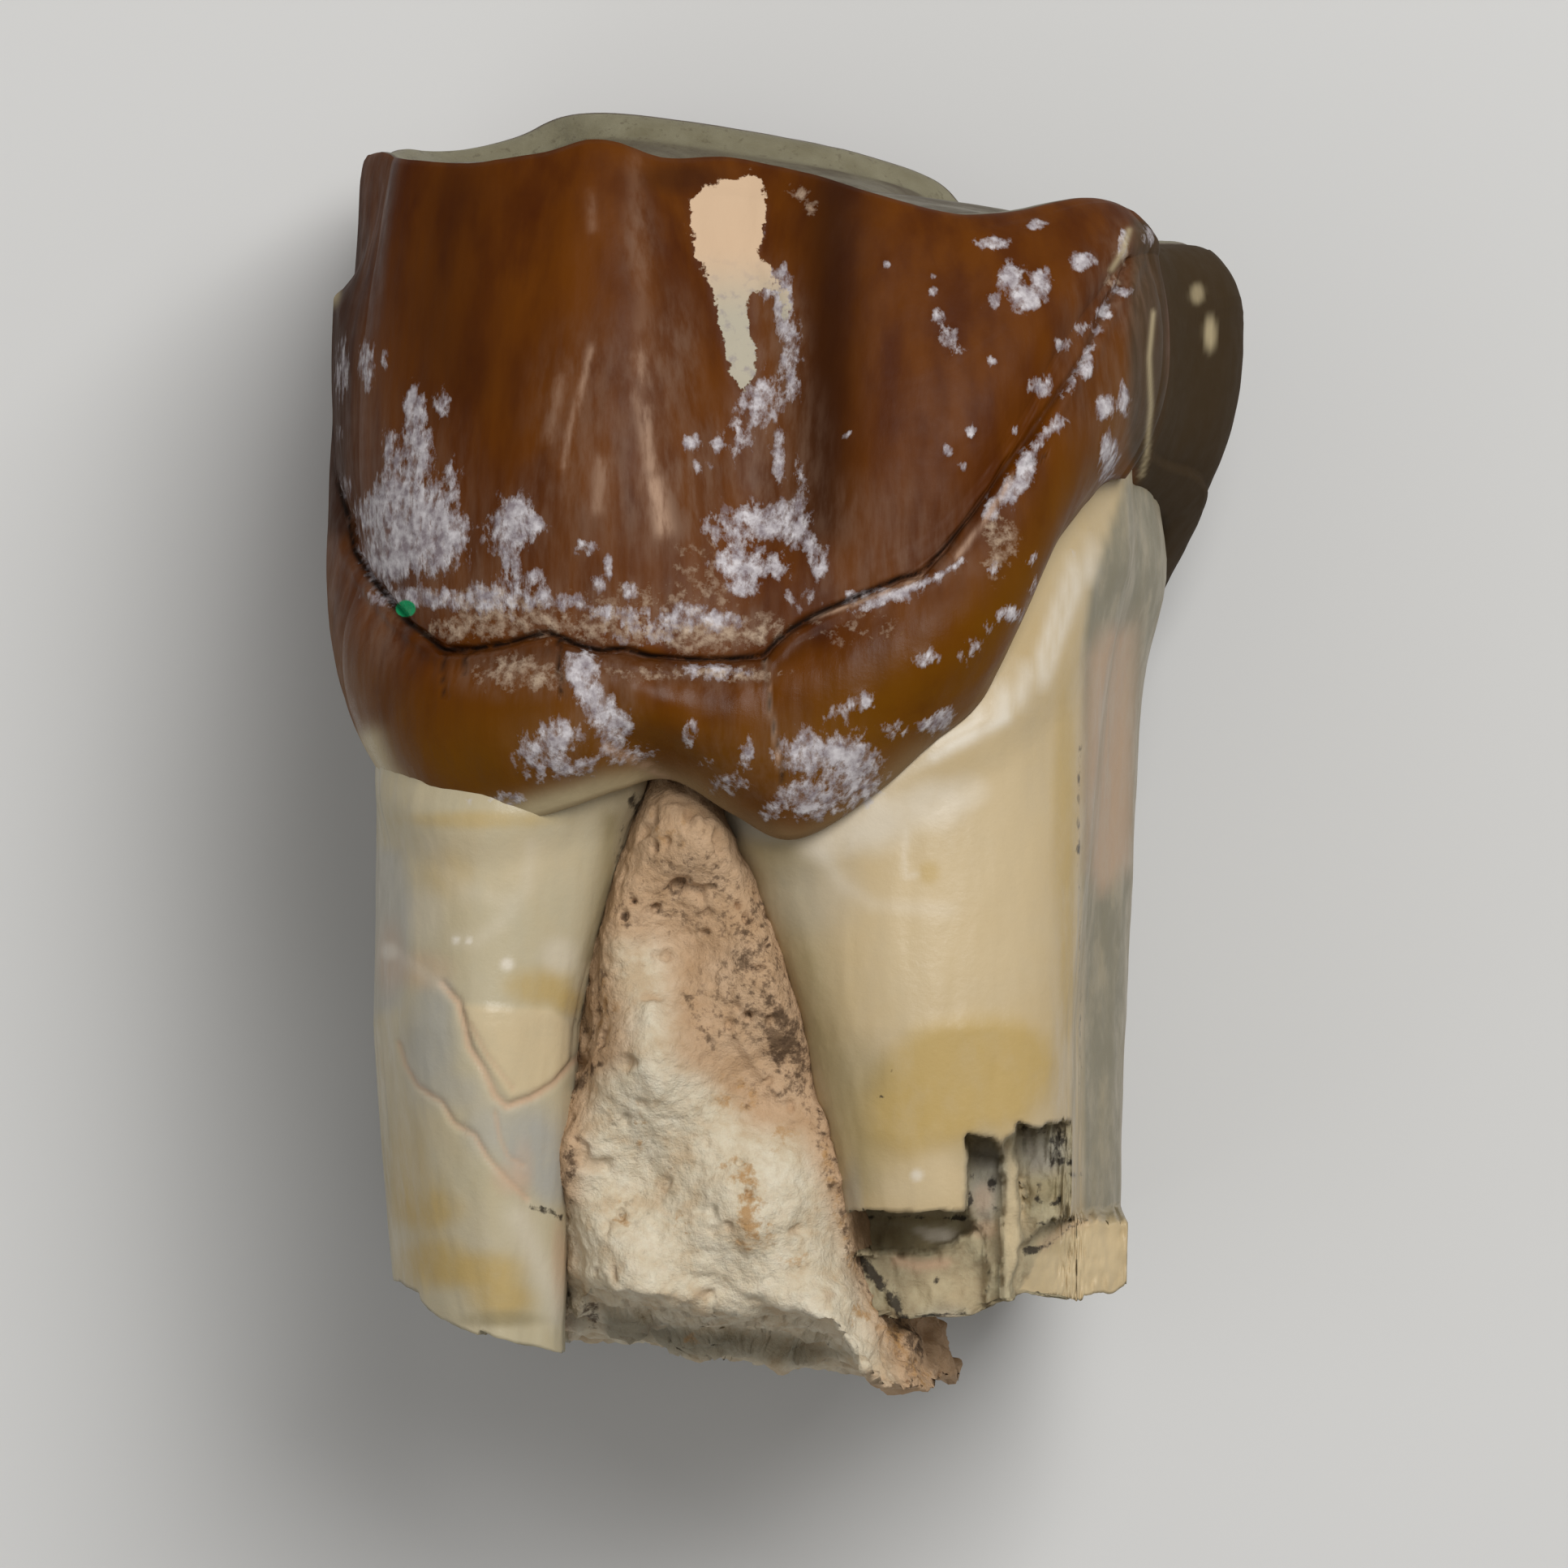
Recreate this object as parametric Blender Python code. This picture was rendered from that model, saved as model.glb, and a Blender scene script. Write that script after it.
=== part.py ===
"""Fossil cheek tooth of a running rhino, with the rock that is still wedged between its roots.

The tooth lies on its cheek side. +Z points up out of the tongue side, which is the face that is seen,
+Y runs from the broken root ends to the chewing surface, and X runs across the tooth.
Every length below is in millimetres until it is scaled by MM.
"""

import math
from dataclasses import dataclass

import bmesh
import bpy
import numpy as np

MM = 0.001

# Places the middle of the whole piece's outline over the origin
CENTRE_X = 0.17
CENTRE_Y = 0.50

# Crown
CINGULUM_SHELF = 0.50
CREASE_DEPTH = 0.22
VALLEY_DEPTH = 0.90
VALLEY_WIDTH = 1.45
FACET_DEPTH = 0.42
FACET_TOP = 9.75
ENAMEL_THICKNESS = 0.85
ENAMEL_STEP = 0.28
DENTINE_DISH = 0.35
CHEWING_HEIGHT = 12.25
CHEWING_RISE_TO_CHEEK = 0.135
CHEWING_FALL_TO_RIGHT = 0.085
CHEWING_MIDDLE = (-0.5, 9.5)

# Rock
ROCK_CLEARANCE = 0.35
ROCK_FRONT = 17.4
ROCK_BACK = 1.9

# Mesh density
FRONT_CUTS = 3
OTHER_CUTS = 2
BAND_ROWS = 6
WALL_ROWS = 13
CHEWING_RINGS = 13
ROOT_CUTS = 3
ROOT_ROWS = 15
END_RINGS = 3


@dataclass(frozen=True)
class Station:
    """One upright line round the crown: where it stands at the widest level, and the heights that it meets."""

    place: str
    x: float
    z: float
    rim_in: float
    base_in: float
    rim: float
    crease: float
    margin: float
    shelf: float = 1.0


STATIONS = (
    Station("valley", 0.20, 19.65, 2.3, 1.3, 11.80, 2.45, -1.72),
    Station("right lobe, inner flank", 1.80, 19.60, 2.3, 1.3, 11.35, 3.20, -0.90),
    Station("right lobe, crest", 3.30, 19.35, 2.2, 1.3, 11.05, 4.20, 0.16),
    Station("right lobe, outer flank", 4.80, 18.70, 2.0, 1.3, 10.88, 6.10, 1.31),
    Station("right front corner", 6.00, 17.60, 1.6, 1.2, 10.95, 8.20, 3.70),
    Station("right cingulum end", 7.20, 16.00, 0.9, 1.0, 11.32, 9.80, 5.35),
    Station("right contact edge", 7.85, 14.30, 0.6, 0.9, 11.10, 10.15, 5.65, 0.6),
    Station("right notch", 7.50, 12.40, 0.3, 0.8, 10.70, 9.60, 5.40, 0.2),
    Station("right side", 8.30, 9.40, 0.2, 1.0, 10.75, 9.00, 5.00, -0.3),
    Station("parastyle", 9.45, 5.80, 0.5, 1.5, 10.95, 9.30, 4.70, -0.5),
    Station("parastyle heel", 8.80, 2.60, 1.0, 1.6, 11.00, 7.40, 2.80, -0.3),
    Station("parastyle groove", 6.80, 1.40, 1.7, 1.1, 11.30, 2.60, 0.40, 0.3),
    Station("paracone rib", 3.90, -0.25, 2.3, 1.5, 12.10, 0.90, -0.90, 0.3),
    Station("cheek hollow", 0.60, 1.00, 2.2, 1.0, 13.20, 1.70, 0.30, 0.3),
    Station("mesostyle fold", -2.80, 0.70, 2.3, 1.1, 13.95, 1.70, 0.20, 0.3),
    Station("metacone rib", -5.40, -0.20, 2.3, 1.5, 13.80, 0.90, -0.90, 0.3),
    Station("metastyle", -8.10, 1.40, 1.3, 1.3, 13.10, 2.20, 0.30, 0.3),
    Station("metastyle heel", -9.25, 3.80, 0.4, 1.0, 12.70, 5.00, 1.70, 0.1),
    Station("left side", -9.50, 7.00, 0.2, 0.9, 12.55, 7.00, 2.60, 0.1),
    Station("left contact facet", -9.55, 10.20, 0.2, 0.8, 12.50, 6.80, 1.80, 0.3),
    Station("left cingulum end", -9.40, 13.00, 0.4, 0.8, 12.42, 4.90, 0.50, 0.7),
    Station("left front edge", -8.85, 15.50, 0.5, 0.7, 12.28, 3.45, -0.50),
    Station("left front corner", -7.65, 17.50, 1.3, 0.9, 12.00, 2.40, -1.25),
    Station("left lobe, outer flank", -6.20, 18.80, 1.9, 1.2, 12.12, 2.00, -1.34),
    Station("left lobe, crest", -4.80, 19.55, 2.2, 1.3, 12.35, 2.27, -1.08),
    Station("left lobe, inner crest", -3.40, 19.80, 2.3, 1.4, 12.28, 2.08, -0.73),
    Station("left lobe, inner flank", -2.20, 19.75, 2.3, 1.5, 12.00, 1.84, -0.52),
    Station("valley, left flank", -1.00, 19.70, 2.3, 1.4, 12.08, 1.87, -1.20),
)
FRONT_PLACES = range(-8, 7)


@dataclass(frozen=True)
class Root:
    """A broad root: its outline in X and Z at three heights, in the same order round the root."""

    heights: tuple[float, float, float]
    neck: tuple[tuple[float, float], ...]
    middle: tuple[tuple[float, float], ...]
    tip: tuple[tuple[float, float], ...]


LEFT_ROOT = Root(
    heights=(1.5, -5.5, -11.5),
    neck=(
        (-6.0, 18.1), (-3.8, 17.8), (-2.1, 16.6), (-1.9, 13.0), (-2.0, 9.0), (-2.3, 5.0),
        (-3.4, 2.2), (-5.4, 1.0), (-7.6, 2.4), (-8.35, 5.6), (-8.20, 9.4), (-8.35, 13.4), (-7.6, 16.6),
    ),
    middle=(
        (-6.3, 17.9), (-5.0, 17.5), (-4.25, 16.2), (-3.9, 12.6), (-3.5, 9.2), (-3.9, 5.6),
        (-4.4, 2.2), (-5.8, 0.2), (-7.7, 1.6), (-8.40, 5.0), (-7.70, 9.2), (-8.45, 13.2), (-7.7, 16.5),
    ),
    tip=(
        (-6.0, 16.9), (-5.2, 16.6), (-4.5, 15.6), (-4.6, 12.4), (-4.5, 9.2), (-4.6, 6.0),
        (-4.8, 2.4), (-5.7, -0.2), (-7.2, 1.0), (-7.90, 4.8), (-6.90, 9.0), (-7.95, 12.8), (-7.3, 15.6),
    ),
)
RIGHT_ROOT = Root(
    heights=(6.8, -5.5, -11.5),
    neck=(
        (0.5, 17.3), (3.6, 17.3), (5.5, 15.8), (6.9, 13.4), (7.3, 10.4), (7.9, 7.4), (7.4, 3.8),
        (5.0, 2.0), (2.2, 1.8), (-1.2, 2.8), (-2.8, 6.0), (-3.5, 10.0), (-4.1, 14.0), (-3.4, 16.4),
    ),
    middle=(
        (2.2, 18.1), (4.2, 17.8), (5.5, 16.8), (5.9, 15.0), (6.0, 11.6), (7.15, 8.4), (7.0, 4.0),
        (5.2, 0.9), (3.0, 0.1), (0.8, 1.8), (0.2, 5.6), (-0.1, 9.6), (0.0, 13.6), (0.5, 16.9),
    ),
    tip=(
        (2.8, 17.2), (4.4, 17.2), (5.6, 16.4), (5.9, 14.8), (5.8, 11.8), (7.00, 8.6), (6.6, 4.2),
        (5.0, 0.8), (3.4, -0.2), (1.9, 1.6), (1.5, 5.4), (1.3, 9.4), (1.4, 13.2), (1.8, 16.2),
    ),
)


@dataclass(frozen=True)
class Flake:
    """A chip broken off the front of a root: inside its sides, nothing stands higher than its floor."""

    left: float
    right: float
    top: float
    bottom: float
    floor: float


# Chips at the broken end of the right root, with the spall that leaves a square shoulder
FLAKES = (
    Flake(0.6, 3.72, -9.20, -10.40, 13.9),
    Flake(0.6, 4.20, -10.02, -14.0, 15.2),
    Flake(3.68, 4.33, -7.75, -14.0, 15.7),
    Flake(4.27, 4.88, -7.95, -14.0, 16.2),
    Flake(4.82, 5.78, -7.60, -14.0, 15.3),
    Flake(5.72, 8.00, -9.30, -14.0, 12.8),
)
FLAKE_TOP = 19.0
GROUND_SIZE = 40.0
FLAKE_WAVE = 0.12

# The rock's wedge where it shows between the roots: height, left edge and right edge
ROCK_SIDES = (
    (0.60, -2.50, -1.50),
    (-1.28, -2.87, -1.27),
    (-2.93, -3.40, -0.54),
    (-5.36, -4.00, 0.24),
    (-7.79, -4.23, 0.83),
    (-10.13, -4.62, 1.36),
    (-12.85, -3.90, 2.45),
)
ROCK_BULGE = 0.35
ROCK_ROWS = 15
ROCK_ROUND = 40
ROCK_LUMP = 0.28


def through(knots, values, at):
    """A smooth curve through points, read at the places asked for."""
    knots = np.asarray(knots, float)
    values = np.asarray(values, float)
    slopes = np.gradient(values, knots, axis=0)
    first = np.clip(np.searchsorted(knots, at) - 1, 0, len(knots) - 2)
    gap = knots[first + 1] - knots[first]
    t = (at - knots[first]) / gap
    if values.ndim > 1:
        gap, t = gap[:, None], t[:, None]
    return (
        (2 * t**3 - 3 * t**2 + 1) * values[first]
        + (t**3 - 2 * t**2 + t) * gap * slopes[first]
        + (3 * t**2 - 2 * t**3) * values[first + 1]
        + (t**3 - t**2) * gap * slopes[first + 1]
    )


def around(values, places):
    """The same for values that go round a closed outline and meet again."""
    values = np.asarray(values, float)
    count = len(values)
    wrapped = np.concatenate([values[-3:], values, values[:3]])
    return through(np.arange(-3, count + 3), wrapped, places % count)


def rise(value, start, end):
    """0 before start, 1 after end, and smooth between them."""
    t = np.clip((value - start) / (end - start), 0, 1)
    return t * t * (3 - 2 * t)


def hump(distance, width):
    """A bell of height 1 that is about as wide as width on each side."""
    return np.exp(-((distance / width) ** 2))


def outward(x, z):
    """Unit normals that point out of a closed outline."""
    along_x = np.roll(x, -1) - np.roll(x, 1)
    along_z = np.roll(z, -1) - np.roll(z, 1)
    area = np.sum(x * np.roll(z, -1) - np.roll(x, -1) * z)
    length = np.hypot(along_x, along_z) * math.copysign(1, area)
    return along_z / length, -along_x / length


def crown_places():
    """Where the crown's upright lines run, in stations, closer together on the face that is seen."""
    front = set(place % len(STATIONS) for place in FRONT_PLACES)
    places = []
    for index in range(len(STATIONS)):
        cuts = FRONT_CUTS if index in front else OTHER_CUTS
        places += [index + step / cuts for step in range(cuts)]
    return np.array(places)


class Crown:
    """The crown's surface, from the enamel's lower edge to the chewing rim."""

    def __init__(self, grow=0.0):
        places = crown_places()
        names = ("x", "z", "rim_in", "base_in", "rim", "crease", "margin", "shelf")
        for name in names:
            setattr(self, name, around([getattr(s, name) for s in STATIONS], places))
        self.out_x, self.out_z = outward(self.x, self.z)
        self.grow = grow

    def inset(self, v):
        """How far the wall stands inside the widest outline. v is 0 at the margin, 1 at the crease, 2 at the rim."""
        if v < 1:
            below = self.base_in * (1 - min(v / 0.55, 1)) ** 2
            over = max(v - 0.55, 0) / 0.45
            return below + CINGULUM_SHELF * self.shelf * over**2.5
        up = v - 1
        step = CINGULUM_SHELF * self.shelf * (1 - 0.5 * math.sin(math.pi / 2 * min(up / 0.45, 1)))
        return step + self.rim_in * up**1.8

    def relief(self, x, y, v):
        """Lobes and folds of the front face, outwards."""
        valley_x = -0.30 - 0.06 * (y - 2.0)
        valley = -VALLEY_DEPTH * hump(x - valley_x, VALLEY_WIDTH) * rise(v, 1.0, 1.35)
        notch_x = -2.4 - 0.75 * (y + 0.6)
        notch = -0.50 * hump(x - notch_x, 0.85) * rise(1.0 - v, 0.1, 0.9)
        return valley + notch

    def facet(self, y):
        """Worn contact facet that stops short of the rim on the left side."""
        return -FACET_DEPTH * rise(y, FACET_TOP - 0.2, FACET_TOP + 0.2) * np.clip(-self.out_x, 0, 1) ** 2

    def row(self, v):
        """One ring of points round the crown."""
        y = np.where(
            v < 1,
            self.margin + v * (self.crease - self.margin),
            self.crease + (v - 1) * (self.rim - self.crease),
        )
        inset = self.inset(v)
        x = self.x - self.out_x * inset
        facing = np.clip(self.out_z, 0, 1)
        crease = -CREASE_DEPTH * self.shelf if v == 1 else 0.0
        out = self.relief(x, y, v) * facing + self.facet(y) + crease + self.grow
        x = x + self.out_x * out
        z = self.z - self.out_z * inset + self.out_z * out
        return np.stack([x, y - self.grow, z], 1)

    def chewing_ring(self, rim, r):
        """A ring of the worn chewing surface, r being 1 at the rim and 0 in the middle."""
        middle_x, middle_z = CHEWING_MIDDLE
        x = middle_x + r * (rim[:, 0] - middle_x)
        z = middle_z + r * (rim[:, 2] - middle_z)
        plane = chewing_plane(x, z)
        y = plane + (rim[:, 1] - chewing_plane(rim[:, 0], rim[:, 2])) * r**3
        reach = np.hypot(rim[:, 0] - middle_x, rim[:, 2] - middle_z)
        inside = rise((1 - r) * reach, 0.15, ENAMEL_THICKNESS)
        return np.stack([x, y + chewing_relief(x, z) * inside, z], 1)


def chewing_plane(x, z):
    """Mean height of the worn surface, which climbs towards the cheek and falls to the right."""
    to_cheek = CHEWING_RISE_TO_CHEEK * (CHEWING_MIDDLE[1] - z)
    return CHEWING_HEIGHT + to_cheek - CHEWING_FALL_TO_RIGHT * x


def pit(x, z, centre, half_length, half_width, lean):
    """1 in the middle of an oval pit and 0 outside it. It leans as its X goes with its Z."""
    along = (z - centre[1]) / half_length
    across = (x - centre[0] - lean * (z - centre[1])) / half_width
    return 1 - rise(np.hypot(along, across), 0.15, 1.35)


def chewing_relief(x, z):
    """Dished dentine, with the enamel-lined pits between the cross crests."""
    middle_pit = 2.4 * pit(x, z, (-0.7, 10.2), 4.6, 1.9, 0.10)
    left_pit = 1.5 * pit(x, z, (-6.4, 10.2), 2.9, 1.3, -0.05)
    right_pit = 1.1 * pit(x, z, (5.7, 12.0), 2.6, 1.2, -0.25)
    return -DENTINE_DISH - middle_pit - left_pit - right_pit


def loft(name, rings, start, end, material):
    """A closed mesh through rings of points, with a point or a flat fill at each end."""
    count = len(rings[0])
    points = np.concatenate([*rings, [start], [end]])
    points[:, 0] -= CENTRE_X
    points[:, 1] -= CENTRE_Y
    first, last = len(points) - 2, len(points) - 1
    top = (len(rings) - 1) * count
    faces = []
    for i in range(count):
        j = (i + 1) % count
        faces.append((first, i, j))
        faces.append((last, top + j, top + i))
        for k in range(len(rings) - 1):
            low, high = k * count, (k + 1) * count
            faces.append((low + i, high + i, high + j, low + j))
    mesh = bpy.data.meshes.new(name)
    mesh.from_pydata((points * MM).tolist(), [], faces)
    mesh.materials.append(material)
    shell = bmesh.new()
    shell.from_mesh(mesh)
    bmesh.ops.recalc_face_normals(shell, faces=shell.faces)
    shell.to_mesh(mesh)
    shell.free()
    obj = bpy.data.objects.new(name, mesh)
    bpy.context.scene.collection.objects.link(obj)
    return obj


def build_crown(name, material, grow=0.0):
    """The crown as one closed block: enamel wall, chewing surface and the base that the roots grow from."""
    crown = Crown(grow)
    band = [crown.row(step / BAND_ROWS) for step in range(BAND_ROWS)]
    wall = [crown.row(1 + step / WALL_ROWS) for step in range(WALL_ROWS + 1)]
    rim = wall[-1]
    radii = [1 - ((step + 1) / (CHEWING_RINGS + 1)) ** 1.15 for step in range(CHEWING_RINGS)]
    chewing = [crown.chewing_ring(rim, r) for r in radii]
    centre = crown.chewing_ring(rim, 0.0).mean(0)
    lip = band[0].copy()
    lip[:, 0] -= crown.out_x * ENAMEL_STEP * 2
    lip[:, 2] -= crown.out_z * ENAMEL_STEP * 2
    lip[:, 1] += 0.1
    base = lip.mean(0)
    base[1] = 2.6
    return loft(name, [lip, *band, *wall, *chewing], base, centre, material)


def root_end(x, z):
    """Height of the rough break across the root ends."""
    left = -11.15 - 0.30 * (x + 7.7)
    right = -11.20
    slope = np.where(x < -2.0, left, right)
    outer = 0.35 * rise(np.abs(x + 0.6), 6.2, 7.6)
    steps = 0.10 * np.sign(np.sin(1.9 * x + 0.7 * z)) + 0.13 * np.sin(0.9 * z + 0.8 * x)
    return slope + outer + steps


def root_ring(root, fraction, grow):
    """A ring of a root, fraction being 0 at the neck and 1 at the break."""
    count = len(root.neck)
    places = np.arange(count * ROOT_CUTS) / ROOT_CUTS
    outlines = [around(np.array(level), places) for level in (root.neck, root.middle, root.tip)]
    top, middle, low = root.heights
    reach = outlines[2]
    end = root_end(reach[:, 0], reach[:, 1]) - grow
    y = top + fraction * (end - top)
    lift = np.clip((y - low) / (top - low), 0, 1)
    knee = (middle - low) / (top - low)
    upper = np.clip((lift - knee) / (1 - knee), 0, 1)[:, None]
    lower = np.clip(lift / knee, 0, 1)[:, None]
    xz = outlines[2] + (outlines[1] - outlines[2]) * lower**0.8 + (outlines[0] - outlines[1]) * upper
    out_x, out_z = outward(xz[:, 0], xz[:, 1])
    x = xz[:, 0] + out_x * grow
    z = xz[:, 1] + out_z * grow
    return np.stack([x, y, z], 1)


def build_flake(flake, material):
    """A block that takes one flake off the front of a root. Its floor is gently uneven."""
    name = "flake"
    mesh = bpy.data.meshes.new(name)
    block = bmesh.new()
    bmesh.ops.create_cube(block, size=1.0)
    wide, tall = flake.right - flake.left, flake.top - flake.bottom
    deep = FLAKE_TOP - flake.floor
    bmesh.ops.subdivide_edges(block, edges=block.edges, cuts=2, use_grid_fill=True)
    for vert in block.verts:
        x = (flake.left + flake.right) / 2 + vert.co.x * wide
        y = (flake.top + flake.bottom) / 2 + vert.co.y * tall
        z = (FLAKE_TOP + flake.floor) / 2 + vert.co.z * deep
        z += FLAKE_WAVE * math.sin(2.3 * x + 1.7 * y) * (0.5 - vert.co.z)
        y += FLAKE_WAVE * math.sin(1.9 * x + 1.3 * z)
        vert.co = ((x - CENTRE_X) * MM, (y - CENTRE_Y) * MM, z * MM)
    block.to_mesh(mesh)
    block.free()
    mesh.materials.append(material)
    obj = bpy.data.objects.new(name, mesh)
    bpy.context.scene.collection.objects.link(obj)
    return obj


def build_root(name, root, material, grow=0.0):
    """A root as a closed block that runs up into the crown."""
    rings = [root_ring(root, step / ROOT_ROWS, grow) for step in range(ROOT_ROWS + 1)]
    end = rings[-1]
    middle = end.mean(0)
    for step in range(END_RINGS):
        r = 1 - (step + 1) / (END_RINGS + 1)
        ring = middle + r * (end - middle)
        ring[:, 1] = root_end(ring[:, 0], ring[:, 2]) - grow
        rings.append(ring)
    middle[1] = root_end(middle[0], middle[2]) - grow
    start = rings[0].mean(0)
    start[1] += 0.2
    return loft(name, rings[::-1], middle, start, material)


def build_ground(material):
    """A block under the tooth. Taking it away leaves the flats that the tooth lies on."""
    bpy.ops.mesh.primitive_cube_add(size=GROUND_SIZE * MM, location=(0, 0, -GROUND_SIZE / 2 * MM))
    ground = bpy.context.object
    ground.data.materials.append(material)
    return ground


def rock_outline(y):
    """Outline of the rock's wedge at one height, lumpy on the two faces that show."""
    heights, left, right = np.array(ROCK_SIDES).T
    left = through(heights[::-1], left[::-1], np.array([y]))[0]
    right = through(heights[::-1], right[::-1], np.array([y]))[0]
    turn = np.arange(ROCK_ROUND) / ROCK_ROUND * math.tau
    square = 2 / 5
    across = np.sign(np.cos(turn)) * np.abs(np.cos(turn)) ** square
    deep = np.sign(np.sin(turn)) * np.abs(np.sin(turn)) ** square
    fuller = 1 + ROCK_BULGE * (1 - np.abs(deep))
    x = (left + right) / 2 + (right - left) / 2 * across * fuller
    z = (ROCK_FRONT + ROCK_BACK) / 2 + (ROCK_FRONT - ROCK_BACK) / 2 * deep
    lump = ROCK_LUMP * (np.sin(1.7 * x + 0.9 * y) + np.sin(1.3 * y - 1.1 * x + 2.0))
    under_crown = 1.2 * rise(y, -2.0, 0.4)
    return np.stack([x, np.full(ROCK_ROUND, y), z + deep * (lump - under_crown)], 1)


def rock_end(x, z):
    """Height of the rock's broken lower end: the front layer stops short of the layer behind it."""
    slope = -12.55 - 0.12 * x
    short = 1.35 * rise(z, 13.5, 16.5) * (1 - rise(x, 0.8, 2.0))
    rough = 0.16 * np.sin(2.1 * x + 0.6 * z) + 0.14 * np.sin(1.1 * z - 0.7 * x)
    return slope + short + rough


def build_rock(name, material):
    """The wedge of rock as one block, before the tooth is taken out of it."""
    low, high = ROCK_SIDES[-1][0], ROCK_SIDES[0][0]
    rings = []
    for step in range(ROCK_ROWS + 1):
        ring = rock_outline(low + (high - low) * step / ROCK_ROWS)
        floor = rock_end(ring[:, 0], ring[:, 2])
        ring[:, 1] = floor + (high - floor) * step / ROCK_ROWS
        rings.append(ring)
    end = rings[0]
    middle = end.mean(0)
    inner = [middle + r * (end - middle) for r in (0.3, 0.6, 0.85)]
    for ring in [*inner, middle[None]]:
        ring[:, 1] = rock_end(ring[:, 0], ring[:, 2])
    return loft(name, [*inner, *rings], middle, rings[-1].mean(0), material)


def combine(target, other, operation):
    """Joins or cuts target with other, and removes other."""
    modifier = target.modifiers.new(operation.title(), "BOOLEAN")
    modifier.operation = operation
    modifier.object = other
    modifier.solver = "EXACT"
    graph = bpy.context.evaluated_depsgraph_get()
    made = bpy.data.meshes.new_from_object(target.evaluated_get(graph))
    target.modifiers.clear()
    target.data = made
    bpy.data.objects.remove(other)


def keep_largest(obj):
    """Drops the slivers that a cut leaves loose beside the main body."""
    shell = bmesh.new()
    shell.from_mesh(obj.data)
    unseen = set(shell.verts)
    bodies = []
    while unseen:
        body = [unseen.pop()]
        for vert in body:
            near = {link.other_vert(vert) for link in vert.link_edges} & unseen
            unseen -= near
            body.extend(near)
        bodies.append(body)
    bodies.sort(key=len)
    loose = [vert for body in bodies[:-1] for vert in body]
    bmesh.ops.delete(shell, geom=loose, context="VERTS")
    shell.to_mesh(obj.data)
    shell.free()


def finish(name, colour, roughness):
    """A plain finish of one colour."""
    material = bpy.data.materials.new(name)
    material.use_nodes = True
    shader = material.node_tree.nodes["Principled BSDF"]
    shader.inputs["Base Color"].default_value = (*colour, 1.0)
    shader.inputs["Roughness"].default_value = roughness
    shader.inputs["Metallic"].default_value = 0.0
    return material


def main():
    """Builds the tooth and the rock."""
    for obj in list(bpy.data.objects):
        bpy.data.objects.remove(obj)
    enamel = finish("enamel", (0.20, 0.075, 0.012), 0.25)
    root_bone = finish("root_bone", (0.66, 0.55, 0.34), 0.45)
    siltstone = finish("siltstone", (0.62, 0.47, 0.33), 0.9)

    tooth = build_crown("tooth", enamel)
    combine(tooth, build_root("left_root", LEFT_ROOT, root_bone), "UNION")
    combine(tooth, build_root("right_root", RIGHT_ROOT, root_bone), "UNION")
    for flake in FLAKES:
        combine(tooth, build_flake(flake, root_bone), "DIFFERENCE")
    combine(tooth, build_ground(root_bone), "DIFFERENCE")

    rock = build_rock("rock_wedge", siltstone)
    combine(rock, build_crown("crown_space", enamel, ROCK_CLEARANCE), "DIFFERENCE")
    combine(rock, build_root("left_space", LEFT_ROOT, root_bone, ROCK_CLEARANCE), "DIFFERENCE")
    combine(rock, build_root("right_space", RIGHT_ROOT, root_bone, ROCK_CLEARANCE), "DIFFERENCE")
    for obj in (tooth, rock):
        keep_largest(obj)
        obj.data.shade_smooth()
        obj.data.set_sharp_from_angle(angle=math.radians(40))


main()
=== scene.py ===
"""Looks of a fossil cheek tooth of a small running rhino, with rock still wedged between its roots.

The tooth lies on its cheek side and is seen from above. Lengths are in millimetres until a mesh is made.
Marks on the surface are placed in pixels of the photograph, and reach the surface along the camera's rays.
"""

import logging
import math
from dataclasses import dataclass
from enum import Enum

import bpy
import numpy as np
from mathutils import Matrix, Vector

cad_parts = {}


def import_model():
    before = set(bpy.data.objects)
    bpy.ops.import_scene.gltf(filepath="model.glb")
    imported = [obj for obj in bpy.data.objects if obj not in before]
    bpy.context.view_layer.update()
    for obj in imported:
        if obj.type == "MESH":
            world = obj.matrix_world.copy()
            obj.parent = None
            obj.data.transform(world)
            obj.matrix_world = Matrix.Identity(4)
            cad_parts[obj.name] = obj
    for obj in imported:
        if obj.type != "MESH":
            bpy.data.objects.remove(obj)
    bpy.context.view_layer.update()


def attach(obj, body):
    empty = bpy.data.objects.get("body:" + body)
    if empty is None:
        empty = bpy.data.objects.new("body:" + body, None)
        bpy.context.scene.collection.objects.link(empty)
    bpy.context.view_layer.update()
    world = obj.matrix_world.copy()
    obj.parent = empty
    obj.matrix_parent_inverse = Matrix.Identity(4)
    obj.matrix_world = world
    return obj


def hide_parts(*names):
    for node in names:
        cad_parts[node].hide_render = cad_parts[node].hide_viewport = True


LOG = logging.getLogger("fossil_tooth")
MM = 0.001

# Places the middle of the whole piece's outline over the origin, as in the solid model
CENTRE = (0.17, 0.50)

Array = np.ndarray
Colour = tuple[float, float, float]


def rise(value: Array, start: float, end: float) -> Array:
    """0 before start, 1 after end, and smooth between them."""
    t = np.clip((value - start) / (end - start), 0.0, 1.0)
    return t * t * (3.0 - 2.0 * t)


def hump(distance: Array, width: float) -> Array:
    """A bell of height 1 that is about as wide as width on each side."""
    return np.exp(-((distance / width) ** 2))


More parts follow.
